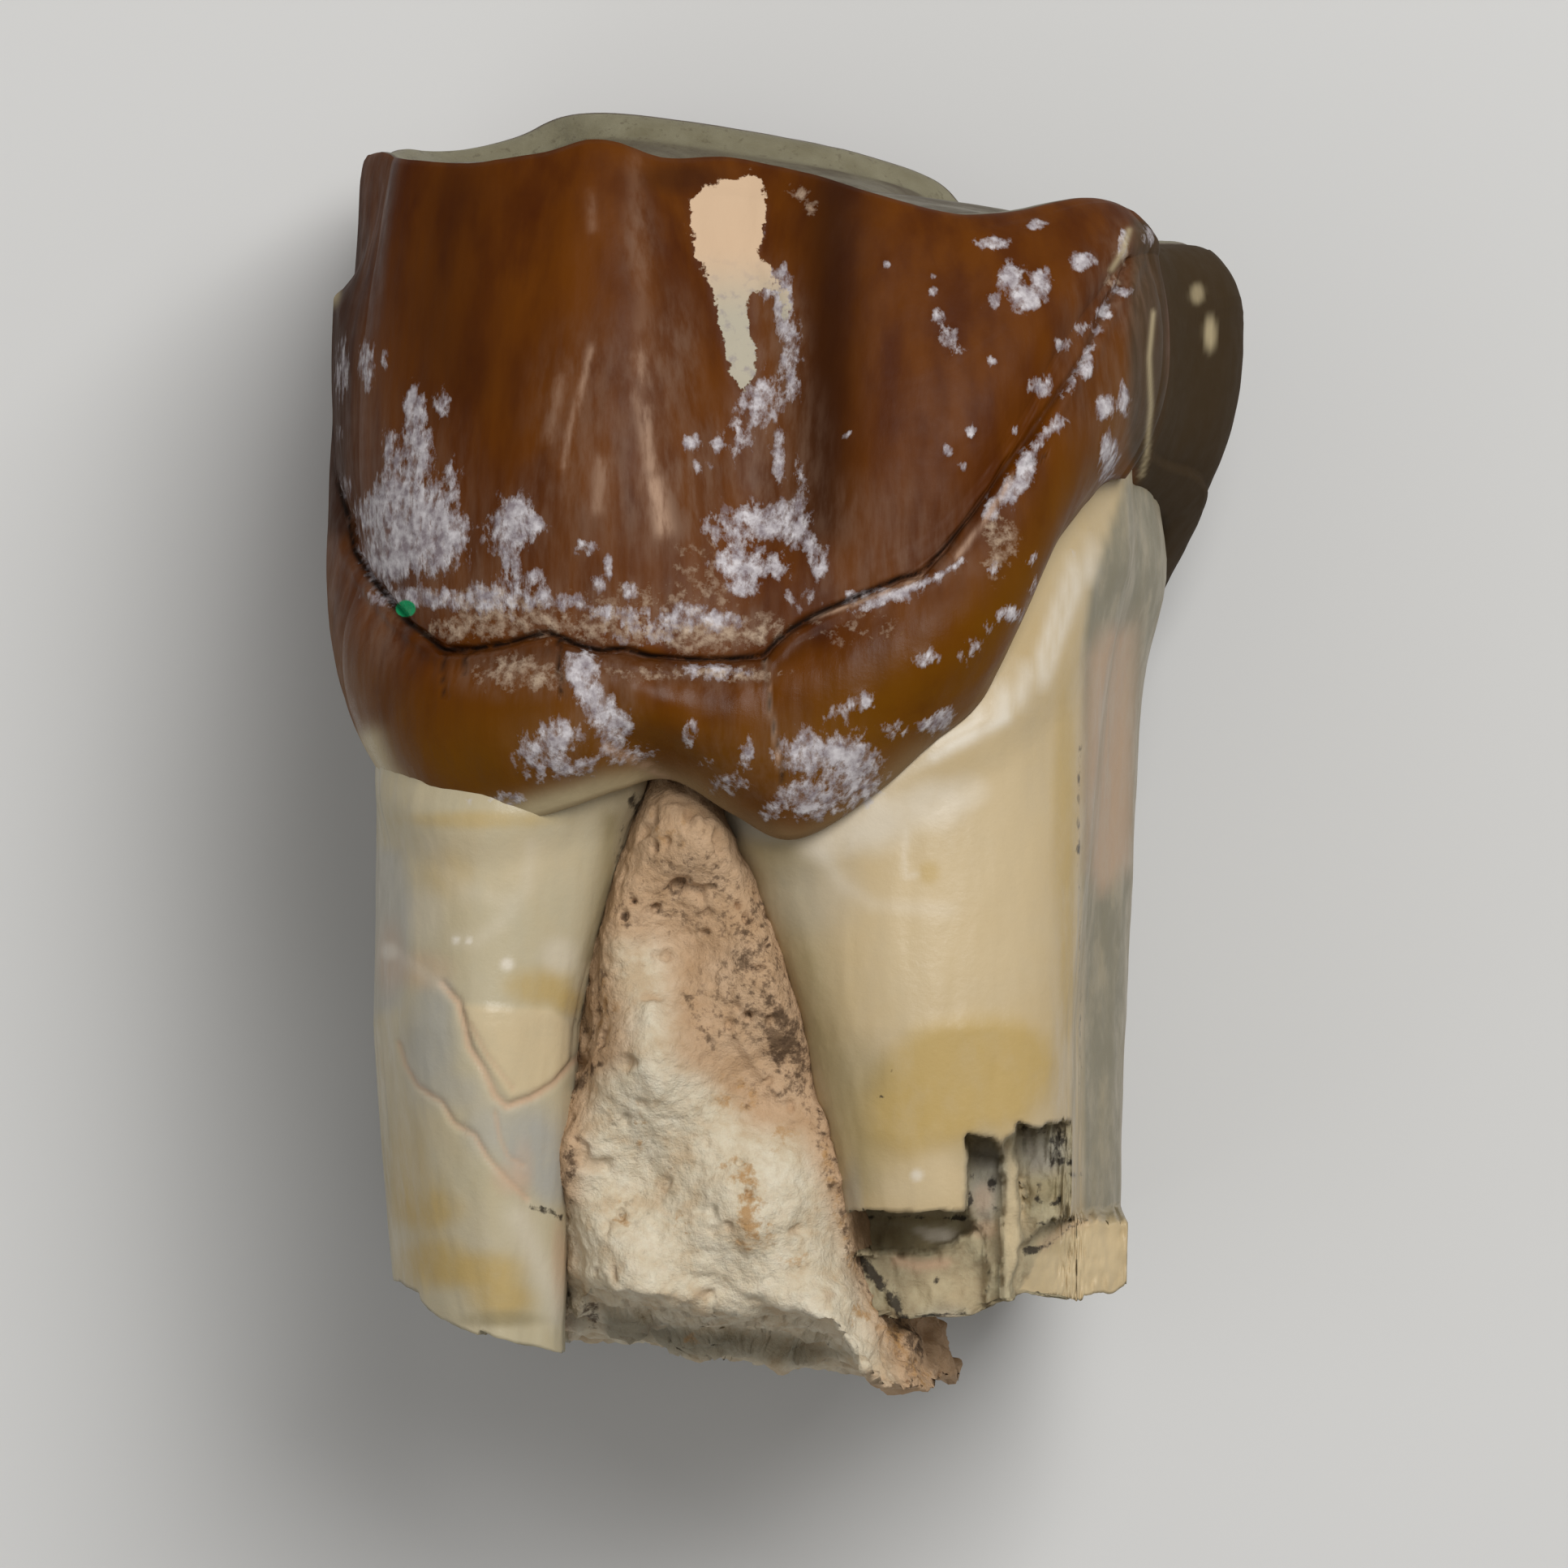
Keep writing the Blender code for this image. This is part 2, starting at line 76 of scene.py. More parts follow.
def through(knots: Array, values: Array, at: Array) -> Array:
    """A smooth curve through points.

    Args:
        knots: Where the points are, in rising order.
        values: What the curve passes through there, one row for each knot.
        at: Where it is read.

    Returns:
        The curve's value at each place.
    """
    knots = np.asarray(knots, float)
    values = np.asarray(values, float)
    slopes = np.gradient(values, knots, axis=0)
    first = np.clip(np.searchsorted(knots, at) - 1, 0, len(knots) - 2)
    gap = knots[first + 1] - knots[first]
    t = (at - knots[first]) / gap
    if values.ndim > 1:
        gap, t = gap[:, None], t[:, None]
    return (
        (2 * t**3 - 3 * t**2 + 1) * values[first]
        + (t**3 - 2 * t**2 + t) * gap * slopes[first]
        + (3 * t**2 - 2 * t**3) * values[first + 1]
        + (t**3 - t**2) * gap * slopes[first + 1]
    )


def around(values: Array, places: Array) -> Array:
    """The same for values that go round a closed outline and meet again."""
    values = np.asarray(values, float)
    count = len(values)
    wrapped = np.concatenate([values[-3:], values, values[:3]])
    return through(np.arange(-3, count + 3), wrapped, places % count)


def outward(x: Array, z: Array) -> tuple[Array, Array]:
    """Unit normals that point out of a closed outline in X and Z."""
    along_x = np.roll(x, -1) - np.roll(x, 1)
    along_z = np.roll(z, -1) - np.roll(z, 1)
    area = np.sum(x * np.roll(z, -1) - np.roll(x, -1) * z)
    length = np.hypot(along_x, along_z) * math.copysign(1.0, area)
    return along_z / length, -along_x / length


def softened(values: Array, reach: int) -> Array:
    """Values round a closed outline, each blended with its neighbours up to reach places away."""
    steps = np.arange(-reach, reach + 1)
    weights = np.cos(steps / (reach + 1) * math.pi / 2) ** 2
    return sum(weight * np.roll(values, step) for step, weight in zip(steps, weights)) / weights.sum()


def even_places(outline: Array, weight: Array, count: int) -> Array:
    """Places round a closed outline that are evenly far apart, and closer where the weight is high.

    Args:
        outline: Points of the outline in X and Z, one for each whole place.
        weight: How close together the places are near each of those points.
        count: How many places are wanted.

    Returns:
        The places, counted in points of the outline.
    """
    fine = np.arange(0.0, len(outline), 0.02)
    path = around(outline, fine)
    steps = np.linalg.norm(np.roll(path, -1, axis=0) - path, axis=1) * np.maximum(around(weight, fine), 0.05)
    total = np.concatenate([[0.0], np.cumsum(steps)])
    return np.interp(np.arange(count) / count * total[-1], total, np.append(fine, len(outline)))


@dataclass(frozen=True)
class PhotoView:
    """The photograph's camera: straight above the tooth, far off and with a long lens."""

    picture: float = 1932.0
    mm_per_pixel: float = 0.0168
    level: float = 12.0
    distance: float = 180.3
    centre: tuple[float, float] = (-0.0252, -0.6048)
    lens: float = 200.0
    sensor: float = 36.0

    def pixels(self, points: Array) -> Array:
        """Where points of the tooth are in the photograph.

        Args:
            points: Points in millimetres, one to a row.

        Returns:
            Their pixels, across and down.
        """
        reach = self.distance / (self.distance + self.level - points[:, 2]) / self.mm_per_pixel
        across = self.picture / 2 + (points[:, 0] - self.centre[0]) * reach
        down = self.picture / 2 - (points[:, 1] - self.centre[1]) * reach
        return np.stack([across, down], 1)


VIEW = PhotoView()


class Lumps:
    """Seeded, smooth unevenness that can be read at any point in millimetres."""

    def __init__(self, seed: int) -> None:
        self.table = np.random.default_rng(seed).random(8192)

    def plain(self, points: Array) -> Array:
        """One layer of lumps of unit size, from 0 to 1."""
        base = np.floor(points).astype(np.int64)
        part = points - base
        part = part * part * (3 - 2 * part)
        total = np.zeros(len(points))
        for corner in range(8):
            bits = np.array([corner & 1, corner >> 1 & 1, corner >> 2 & 1])
            cell = base + bits
            key = (cell[:, 0] * 73856093) ^ (cell[:, 1] * 19349663) ^ (cell[:, 2] * 83492791)
            share = np.prod(np.where(bits == 1, part, 1 - part), axis=1)
            total += share * self.table[key % len(self.table)]
        return total

    def at(self, points: Array, size: float | tuple[float, float, float], layers: int = 3) -> Array:
        """Layered lumps, from about -1 to 1.

        Args:
            points: Where they are read.
            size: Size of the largest lumps, or their sizes along X, Y and Z.
            layers: How many finer layers are laid over each other.

        Returns:
            The height of the lumps at each point.
        """
        scaled = points / np.asarray(size, float)
        total = np.zeros(len(points))
        share = 1.0
        for layer in range(layers):
            total += share * (2 * self.plain(scaled * 2.03**layer + 17.3 * layer) - 1)
            share *= 0.5
        return total / (2 - 0.5 ** (layers - 1))


LUMPS = Lumps(7)


@dataclass(frozen=True)
class Spot:
    """A soft oval mark in pixels: its middle and half sizes."""

    x: float
    y: float
    wide: float
    tall: float
    strength: float = 1.0

    def weight(self, pixels: Array) -> Array:
        """How strongly the mark covers each pixel."""
        away = np.hypot((pixels[:, 0] - self.x) / self.wide, (pixels[:, 1] - self.y) / self.tall)
        return self.strength * (1 - rise(away, 0.35, 1.35))


@dataclass(frozen=True)
class Stroke:
    """A line in pixels, with its half width."""

    points: tuple[tuple[float, float], ...]
    width: float
    strength: float = 1.0

    def distance(self, pixels: Array) -> Array:
        """How far each pixel is from the line."""
        return line_distance(self.points, pixels)

    def weight(self, pixels: Array) -> Array:
        """How strongly the mark covers each pixel."""
        return self.strength * hump(self.distance(pixels), self.width)


@dataclass(frozen=True)
class Area:
    """A closed area in pixels with a soft edge."""

    points: tuple[tuple[float, float], ...]
    soft: float = 8.0
    strength: float = 1.0

    def weight(self, pixels: Array) -> Array:
        """How strongly the mark covers each pixel."""
        loop = (*self.points, self.points[0])
        inside = np.zeros(len(pixels), bool)
        for (x0, y0), (x1, y1) in zip(loop[:-1], loop[1:]):
            if y0 == y1:
                continue
            spans = (pixels[:, 1] > min(y0, y1)) & (pixels[:, 1] <= max(y0, y1))
            cross = x0 + (pixels[:, 1] - y0) * (x1 - x0) / (y1 - y0)
            inside ^= spans & (pixels[:, 0] < cross)
        away = line_distance(loop, pixels) * np.where(inside, 1.0, -1.0)
        return self.strength * rise(away, -self.soft, self.soft)


def line_distance(points: tuple[tuple[float, float], ...], pixels: Array) -> Array:
    """How far each pixel is from a line through points."""
    nearest = np.full(len(pixels), 1e9)
    for start, end in zip(np.array(points[:-1], float), np.array(points[1:], float)):
        along = end - start
        part = np.clip((pixels - start) @ along / (along @ along), 0, 1)
        nearest = np.minimum(nearest, np.linalg.norm(pixels - start - part[:, None] * along, axis=1))
    return nearest


def cover(marks: tuple, pixels: Array) -> Array:
    """Marks laid over each other, from 0 where there is none to 1 where one is full."""
    bare = np.ones(len(pixels))
    for mark in marks:
        bare *= 1 - np.clip(mark.weight(pixels), 0, 1)
    return 1 - bare


# The crease over the cingulum, the enamel's lower edge and the small cracks, in pixels
CREASE = (
    (405, 560), (430, 640), (437, 680), (455, 710), (480, 740), (500, 765), (520, 780), (545, 800), (580, 800),
    (620, 793), (650, 785), (675, 780), (690, 785), (705, 792), (735, 800), (770, 800), (800, 808), (850, 812),
    (900, 812), (940, 808), (955, 792), (975, 775), (1000, 760), (1020, 750), (1050, 738), (1080, 725),
    (1110, 712), (1135, 705), (1145, 695), (1160, 680), (1180, 655), (1200, 630), (1215, 610), (1235, 580),
    (1250, 560), (1270, 535), (1285, 510), (1300, 490), (1320, 460), (1335, 440), (1350, 400), (1365, 370),
    (1380, 350), (1390, 320),
)
MARGIN = (
    (456, 915), (470, 950), (490, 980), (520, 1000), (560, 1012), (600, 1012), (650, 1000), (700, 985),
    (750, 970), (795, 960), (850, 975), (880, 995), (910, 1015), (950, 1030), (990, 1033), (1020, 1020),
    (1050, 1005), (1080, 985), (1100, 960), (1130, 935), (1160, 920), (1200, 900), (1235, 870), (1260, 845),
    (1285, 825), (1300, 780), (1310, 750), (1325, 710), (1345, 690),
)
ENAMEL_CRACKS = (
    Stroke(((690, 785), (688, 815), (693, 860)), 3.0, 0.9),
    Stroke(((550, 800), (546, 830), (548, 860)), 2.5, 0.7),
    Stroke(((575, 800), (572, 830)), 2.5, 0.7),
    Stroke(((943, 812), (947, 860), (952, 890), (958, 920), (965, 960)), 2.5, 0.8),
    Stroke(((1245, 590), (1262, 575), (1290, 560)), 2.0, 0.5),
)


@dataclass(frozen=True)
class Station:
    """One upright line round the crown: where it stands at the widest level, and the heights that it meets."""

    place: str
    x: float
    z: float
    rim_in: float
    base_in: float
    rim: float
    crease: float
    margin: float
    shelf: float = 1.0


STATIONS = (
    Station("valley", 0.20, 19.65, 2.3, 1.3, 11.80, 2.45, -1.72),
    Station("right lobe, inner flank", 1.80, 19.60, 2.3, 1.3, 11.35, 3.20, -0.90),
    Station("right lobe, crest", 3.30, 19.35, 2.2, 1.3, 11.05, 4.20, 0.16),
    Station("right lobe, outer flank", 4.80, 18.70, 2.0, 1.3, 10.88, 6.10, 1.31),
    Station("right front corner", 6.00, 17.60, 1.6, 1.2, 10.95, 8.20, 3.70),
    Station("right cingulum end", 7.20, 16.00, 0.9, 1.0, 11.32, 9.80, 5.35),
    Station("right contact edge", 7.85, 14.30, 0.6, 0.9, 11.10, 10.15, 5.65, 0.6),
    Station("right notch", 7.50, 12.40, 0.3, 0.8, 10.70, 9.60, 5.62, 0.2),
    Station("right side", 8.30, 9.40, 0.2, 1.0, 10.75, 9.00, 5.40, -0.3),
    Station("parastyle", 9.66, 5.80, 0.5, 1.5, 10.95, 9.30, 4.70, -0.5),
    Station("parastyle heel", 8.80, 2.60, 1.0, 1.6, 11.00, 7.40, 2.80, -0.3),
    Station("parastyle groove", 6.80, 1.40, 1.7, 1.1, 11.30, 2.60, 0.40, 0.3),
    Station("paracone rib", 3.90, -0.25, 2.3, 1.5, 12.10, 0.90, -0.90, 0.3),
    Station("cheek hollow", 0.60, 1.00, 2.2, 1.0, 13.20, 1.70, 0.30, 0.3),
    Station("mesostyle fold", -2.80, 0.70, 2.3, 1.1, 13.95, 1.70, 0.20, 0.3),
    Station("metacone rib", -5.40, -0.20, 2.3, 1.5, 13.80, 0.90, -0.90, 0.3),
    Station("metastyle", -8.10, 1.40, 1.3, 1.3, 13.22, 2.20, 0.30, 0.3),
    Station("metastyle heel", -9.25, 3.80, 0.4, 1.0, 13.08, 5.00, 1.70, 0.1),
    Station("left side", -9.50, 7.00, 0.2, 0.9, 12.55, 7.00, 2.60, 0.1),
    Station("left contact facet", -9.55, 10.20, 0.2, 0.8, 12.50, 6.80, 1.80, 0.3),
    Station("left cingulum end", -9.40, 13.00, 0.4, 0.8, 12.42, 4.90, 0.50, 0.7),
    Station("left front edge", -8.85, 15.50, 0.5, 0.7, 12.12, 3.45, -0.50),
    Station("left front corner", -7.65, 17.50, 1.3, 0.9, 11.93, 2.40, -1.25),
    Station("left lobe, outer flank", -6.20, 18.80, 1.9, 1.2, 12.12, 2.00, -1.34),
    Station("left lobe, crest", -4.80, 19.55, 2.2, 1.3, 12.35, 2.27, -1.08),
    Station("left lobe, inner crest", -3.40, 19.80, 2.3, 1.4, 12.28, 2.08, -0.73),
    Station("left lobe, inner flank", -2.20, 19.75, 2.3, 1.5, 12.00, 1.84, -0.52),
    Station("valley, left flank", -1.00, 19.70, 2.3, 1.4, 12.08, 1.87, -1.20),
)


@dataclass(frozen=True)
class RootShape:
    """A broad root: its outline in X and Z at three heights, in the same order round the root.

    The shoulder is how far its outer side swells under the crown, and the tuck is how far its front draws in there.
    """

    name: str
    heights: tuple[float, float, float]
    neck: tuple[tuple[float, float], ...]
    middle: tuple[tuple[float, float], ...]
    tip: tuple[tuple[float, float], ...]
    shoulder: float = 0.0
    tuck: float = 0.0


LEFT_ROOT = RootShape(
    name="left_root",
    tuck=2.2,
    heights=(3.0, -5.5, -11.5),
    neck=(
        (-6.0, 18.1), (-3.8, 17.8), (-2.1, 16.6), (-1.9, 13.0), (-2.0, 9.0), (-2.3, 5.0),
        (-3.4, 2.2), (-5.4, 1.0), (-7.6, 2.4), (-8.35, 5.6), (-8.20, 9.4), (-8.35, 13.4), (-7.6, 16.6),
    ),
    middle=(
        (-6.3, 17.9), (-5.0, 17.5), (-4.25, 16.2), (-3.9, 12.6), (-3.5, 9.2), (-3.9, 5.6),
        (-4.4, 2.2), (-5.8, 0.2), (-7.7, 1.6), (-8.40, 5.0), (-7.70, 9.2), (-8.45, 13.2), (-7.7, 16.5),
    ),
    tip=(
        (-6.0, 16.9), (-5.2, 16.6), (-4.5, 15.6), (-4.6, 12.4), (-4.5, 9.2), (-4.6, 6.0),
        (-4.8, 2.4), (-5.7, -0.2), (-7.2, 1.0), (-7.90, 4.8), (-6.90, 9.0), (-7.95, 12.8), (-7.3, 15.6),
    ),
)
RIGHT_ROOT = RootShape(
    name="right_root",
    shoulder=0.44,
    heights=(5.9, -5.5, -11.5),
    neck=(
        (0.5, 17.3), (3.6, 17.3), (5.5, 15.8), (6.9, 13.4), (7.1, 10.4), (7.75, 7.4), (7.4, 3.8),
        (5.0, 2.0), (2.2, 1.8), (-1.2, 2.8), (-2.8, 6.0), (-3.5, 10.0), (-4.1, 14.0), (-3.4, 16.4),
    ),
    middle=(
        (2.2, 18.1), (4.2, 17.8), (5.4, 16.9), (5.85, 15.0), (6.15, 11.6), (7.15, 8.4), (7.0, 4.0),
        (5.2, 0.9), (3.0, 0.1), (0.8, 1.8), (0.2, 5.6), (-0.1, 9.6), (0.0, 13.6), (0.5, 16.9),
    ),
    tip=(
        (2.8, 17.2), (4.4, 17.2), (5.4, 16.5), (5.8, 14.8), (6.15, 11.8), (7.00, 8.6), (6.6, 4.2),
        (5.0, 0.8), (3.4, -0.2), (1.9, 1.6), (1.5, 5.4), (1.3, 9.4), (1.4, 13.2), (1.8, 16.2),
    ),
)


class Surface:
    """A closed skin of rings, one above the other, that can be pushed out along its own normals."""

    def __init__(self, rings: list[Array], start: Array, end: Array) -> None:
        self.grid = np.array(rings)
        self.start = start
        self.end = end

    def points(self) -> Array:
        """Every point of the rings, one to a row."""
        return self.grid.reshape(-1, 3)

    def normals(self) -> Array:
        """Unit normals of the rings' points, facing out."""
        along = np.roll(self.grid, -1, axis=1) - np.roll(self.grid, 1, axis=1)
        up = np.gradient(self.grid, axis=0)
        face = np.cross(along, up).reshape(-1, 3)
        return face / np.maximum(np.linalg.norm(face, axis=1, keepdims=True), 1e-9)

    def push(self, height: Array) -> None:
        """Moves each point of the rings outwards by its own height."""
        moved = self.points() + self.normals() * height[:, None]
        self.grid = moved.reshape(self.grid.shape)

    def mesh(self, name: str, marks: dict[str, Array]) -> bpy.types.Object:
        """Makes the skin an object.

        Args:
            name: The object's name.
            marks: Values for each point of the rings, stored under their names for the finishes to read.

        Returns:
            The new object, in the scene.
        """
        rows, count = self.grid.shape[:2]
        points = np.concatenate([self.points(), [self.start], [self.end]])
        points[:, 2] = np.maximum(points[:, 2], 0.0)
        points = (points - (*CENTRE, 0.0)) * MM
        low = np.arange(rows - 1)[:, None] * count
        here = np.arange(count)[None, :]
        after = (here + 1) % count
        quads = np.stack([low + here, low + after, low + count + after, low + count + here], -1).reshape(-1, 4)
        first, last = rows * count, rows * count + 1
        top = (rows - 1) * count
        fans = [(first, (i + 1) % count, i) for i in range(count)]
        fans += [(last, top + i, top + (i + 1) % count) for i in range(count)]
        mesh = bpy.data.meshes.new(name)
        mesh.from_pydata(points.tolist(), [], quads.tolist() + fans)
        mesh.shade_smooth()
        for key, values in marks.items():
            layer = mesh.attributes.new(key, "FLOAT", "POINT")
            layer.data.foreach_set("value", np.append(values, (values[0], values[-1])).astype(np.float32))
        made = bpy.data.objects.new(name, mesh)
        bpy.context.scene.collection.objects.link(made)
        return made


@dataclass
class Crown:
    """The brown enamel crown with its lobes, valley, cingulum and worn chewing surface."""

    columns: int = 470
    band_rows: int = 58
    wall_rows: int = 108
    chewing_rows: int = 34
    shelf: float = 0.50
    valley_depth: float = 0.90
    valley_width: float = 1.45
    facet_depth: float = 0.42
    facet_top: float = 9.75
    crease_depth: float = 0.17
    crease_width: float = 0.055
    enamel_thickness: float = 0.85
    lip_in: float = 0.56
    dish: float = 0.35
    chewing_height: float = 12.25
    chewing_to_cheek: float = 0.135
    chewing_to_right: float = 0.085
    chewing_middle: tuple[float, float] = (-0.5, 9.5)
    soft_reach: int = 14
    corner_steps: tuple[float, ...] = (-0.07, -0.035, 0.0, 0.035, 0.07)
    rim_round: float = 0.10
    corner_round: float = 0.65

    def __post_init__(self) -> None:
        """Reads the stations at every column."""
        outline = np.array([(s.x, s.z) for s in STATIONS])
        front = rise(outline[:, 1], 12.0, 15.0)
        places = even_places(outline, 0.38 + 0.62 * front, self.columns)
        self.at = {
            name: around([getattr(s, name) for s in STATIONS], places)
            for name in ("x", "z", "rim_in", "base_in", "rim", "crease", "margin", "shelf")
        }
        out_x, out_z = (softened(part, self.soft_reach) for part in outward(self.at["x"], self.at["z"]))
        length = np.hypot(out_x, out_z)
        self.out = (out_x / length, out_z / length)

    def sharp_inset(self, v: float) -> Array:
        """How far the wall stands inside the widest outline: v is 0 at the margin, 1 at the crease, 2 at the rim."""
        shelf = self.shelf * self.at["shelf"]
        if v < 1:
            below = self.at["base_in"] * (1 - min(v / 0.55, 1)) ** 2
            return below + shelf * (max(v - 0.55, 0) / 0.45) ** 2.5
        up = min(v - 1, 1.0)
        step = shelf * (1 - 0.5 * math.sin(math.pi / 2 * min(up / 0.45, 1)))
        return step + self.at["rim_in"] * up**1.8

    def inset(self, v: float) -> Array:
        """The same with its corners rounded, most of all on the corner behind."""
        near = sum(self.sharp_inset(v + step) for step in self.corner_steps) / len(self.corner_steps)
        wide = sum(self.sharp_inset(v + 4 * step) for step in self.corner_steps) / len(self.corner_steps)
        near = near if 0.2 < v < 1.5 else self.sharp_inset(v)
        behind = rise(self.at["x"], 7.6, 8.6) * (self.at["z"] < 13.0)
        round_rim = self.rim_round * self.quarter(v, 0.14) + behind * self.corner_round * self.quarter(v, 0.55)
        return near + behind * (wide - near) * (0.2 < v) + round_rim

    @staticmethod
    def quarter(v: float, height: float) -> float:
        """A quarter round that ends at the rim, height being how far below it starts."""
        near_rim = max(v - 2 + height, 0.0) / height
        return 1 - math.sqrt(max(1 - near_rim**2, 0.0))

    def row(self, v: float) -> Array:
        """One ring of points round the crown at level v."""
        at = self.at
        low, high = (at["margin"], at["crease"]) if v < 1 else (at["crease"], at["rim"])
        y = low + (v if v < 1 else v - 1) * (high - low)
        out_x, out_z = self.out
        x = at["x"] - out_x * self.inset(v)
        valley = -self.valley_depth * hump(x + 0.30 + 0.06 * (y - 2.0), self.valley_width)
        valley *= float(rise(np.array(v), 1.0, 1.35))
        notch = -0.50 * hump(x + 2.4 + 0.75 * (y + 0.6), 0.85) * float(rise(np.array(1.0 - v), 0.1, 0.9))
        soft = 0.2 + 1.8 * rise(out_z, 0.0, 0.22)
        facet = -self.facet_depth * rise(y, self.facet_top - soft, self.facet_top + soft) * rise(-out_x, 0.88, 1.0)
        out = (valley + notch) * np.clip(out_z, 0, 1) + facet
        z = at["z"] - out_z * self.inset(v) + out_z * out
        return np.stack([x + out_x * out, y, z], 1)

    def plane(self, x: Array, z: Array) -> Array:
        """Mean height of the worn surface, which climbs towards the cheek and falls to the right."""
        to_cheek = self.chewing_to_cheek * (self.chewing_middle[1] - z)
        return self.chewing_height + to_cheek - self.chewing_to_right * x

    def basins(self, x: Array, z: Array) -> Array:
        """Dished dentine, with the enamel-lined pits between the cross crests."""
        total = np.full(len(x), -self.dish)
        for depth, centre, length, width, lean in (
            (2.4, (-0.7, 10.2), 4.6, 1.9, 0.10),
            (1.5, (-6.4, 10.2), 2.9, 1.3, -0.05),
            (1.1, (5.7, 12.0), 2.6, 1.2, -0.25),
        ):
            across = (x - centre[0] - lean * (z - centre[1])) / width
            total -= depth * (1 - rise(np.hypot((z - centre[1]) / length, across), 0.15, 1.35))
        return total

    def chewing_ring(self, rim: Array, r: float) -> Array:
        """A ring of the worn surface, r being 1 at the rim and 0 in the middle."""
        mid_x, mid_z = self.chewing_middle
        x = mid_x + r * (rim[:, 0] - mid_x)
        z = mid_z + r * (rim[:, 2] - mid_z)
        y = self.plane(x, z) + (rim[:, 1] - self.plane(rim[:, 0], rim[:, 2])) * r**3
        reach = np.hypot(rim[:, 0] - mid_x, rim[:, 2] - mid_z)
        inside = rise((1 - r) * reach, 0.15, self.enamel_thickness)
        return np.stack([x, y + self.basins(x, z) * inside, z], 1)

    def relief(self, skin: Surface) -> Array:
        """Fine height of the enamel: the crease, cracks, ridges, crust and general unevenness."""
        points = skin.points()
        pixels = VIEW.pixels(points)
        front = rise(skin.normals()[:, 2], 0.02, 0.3) * rise(points[:, 2], 11.0, 13.0)
        wobble = 0.06 * LUMPS.at(points, 0.5, 3)
        away = line_distance(CREASE, pixels) * VIEW.mm_per_pixel
        crease_x, crease_y = np.array(CREASE).T
        below = rise(pixels[:, 1] - np.interp(pixels[:, 0], crease_x, crease_y), -4.0, 8.0)
        shallow = 1 - 0.5 * rise(pixels[:, 0], 1130.0, 1260.0)
        groove = self.crease_depth * hump(away + wobble, self.crease_width) + 0.04 * hump(away, 0.22)
        groove *= shallow
        lip = 0.06 * below * hump(away - 0.22, 0.12)
        cracks = 0.07 * cover(ENAMEL_CRACKS, pixels)
        crumbly = 0.035 * LUMPS.at(points, (0.22, 0.34, 0.22), 3) * hump(away, 0.55)
        wrinkles = 0.03 * LUMPS.at(points, (0.22, 1.3, 0.4), 3) * below * hump(away, 1.1)
        broad = 0.06 * LUMPS.at(points, 2.6, 2) + 0.022 * LUMPS.at(points, (0.45, 2.4, 0.45), 3)
        crust = 0.05 * cover(MATRIX_STREAK, pixels) * (1 + LUMPS.at(points, 0.25, 3))
        scale = 0.022 * cover(DEPOSITS, pixels) * (1 + LUMPS.at(points, 0.16, 2))
        return broad + front * (lip + crumbly + wrinkles + crust + scale - groove - cracks)

    def build(self) -> bpy.types.Object:
        """Builds the crown and lays its marks on it."""
        band = list(1 - np.linspace(1, 0, self.band_rows, endpoint=False) ** 1.5)
        levels = band + list(1 + np.linspace(0, 1, self.wall_rows) ** 1.45)
        wall = [self.row(v) for v in levels]
        lips = []
        for share, lift in ((1.0, 0.10), (0.7, 0.03), (0.35, 0.0)):
            lip = wall[0].copy()
            lip[:, 0] -= self.out[0] * self.lip_in * share
            lip[:, 2] -= self.out[1] * self.lip_in * share
            lip[:, 1] += lift
            lips.append(lip)
        chips = 0.03 * LUMPS.at(wall[-1], 1.2, 3) + 0.05 * np.minimum(LUMPS.at(wall[-1] + 9.0, 0.5, 2) + 0.35, 0)
        for row in range(-14, 0):
            wall[row][:, 1] += chips * (1 + (row + 1) / 14)
        rim = wall[-1]
        radii = 1 - (np.arange(1, self.chewing_rows + 1) / (self.chewing_rows + 1)) ** 1.25
        chewing = [self.chewing_ring(rim, r) for r in radii]
        start = lips[0].mean(0)
        start[1] = 2.6
        skin = Surface([*lips, *wall, *chewing], start, self.chewing_ring(rim, 0.0).mean(0))
        heights = self.relief(skin).reshape(skin.grid.shape[:2])
        heights[: len(lips)] = 0
        edge = len(lips) + len(wall)
        heights[edge - 6 :] *= 0.25
        skin.push(heights.ravel())
        made = skin.mesh("crown", self.marks(skin, len(lips), levels, rim))
        fill = (len(skin.grid) - 1) * self.columns
        worn = (edge - 1) * self.columns
        slots = np.zeros(fill + 2 * self.columns, np.int32)
        slots[worn:fill] = 1
        slots[fill + self.columns :] = 1
        side = ((self.at["x"] > 7.2) & (self.at["z"] < 13.6)) | (self.out[1] < 0.30)
        slots[:worn] = np.where(np.tile(side, edge - 1), 2, slots[:worn])
        for _ in range(3):
            made.data.materials.append(None)
        made.data.polygons.foreach_set("material_index", slots)
        return made

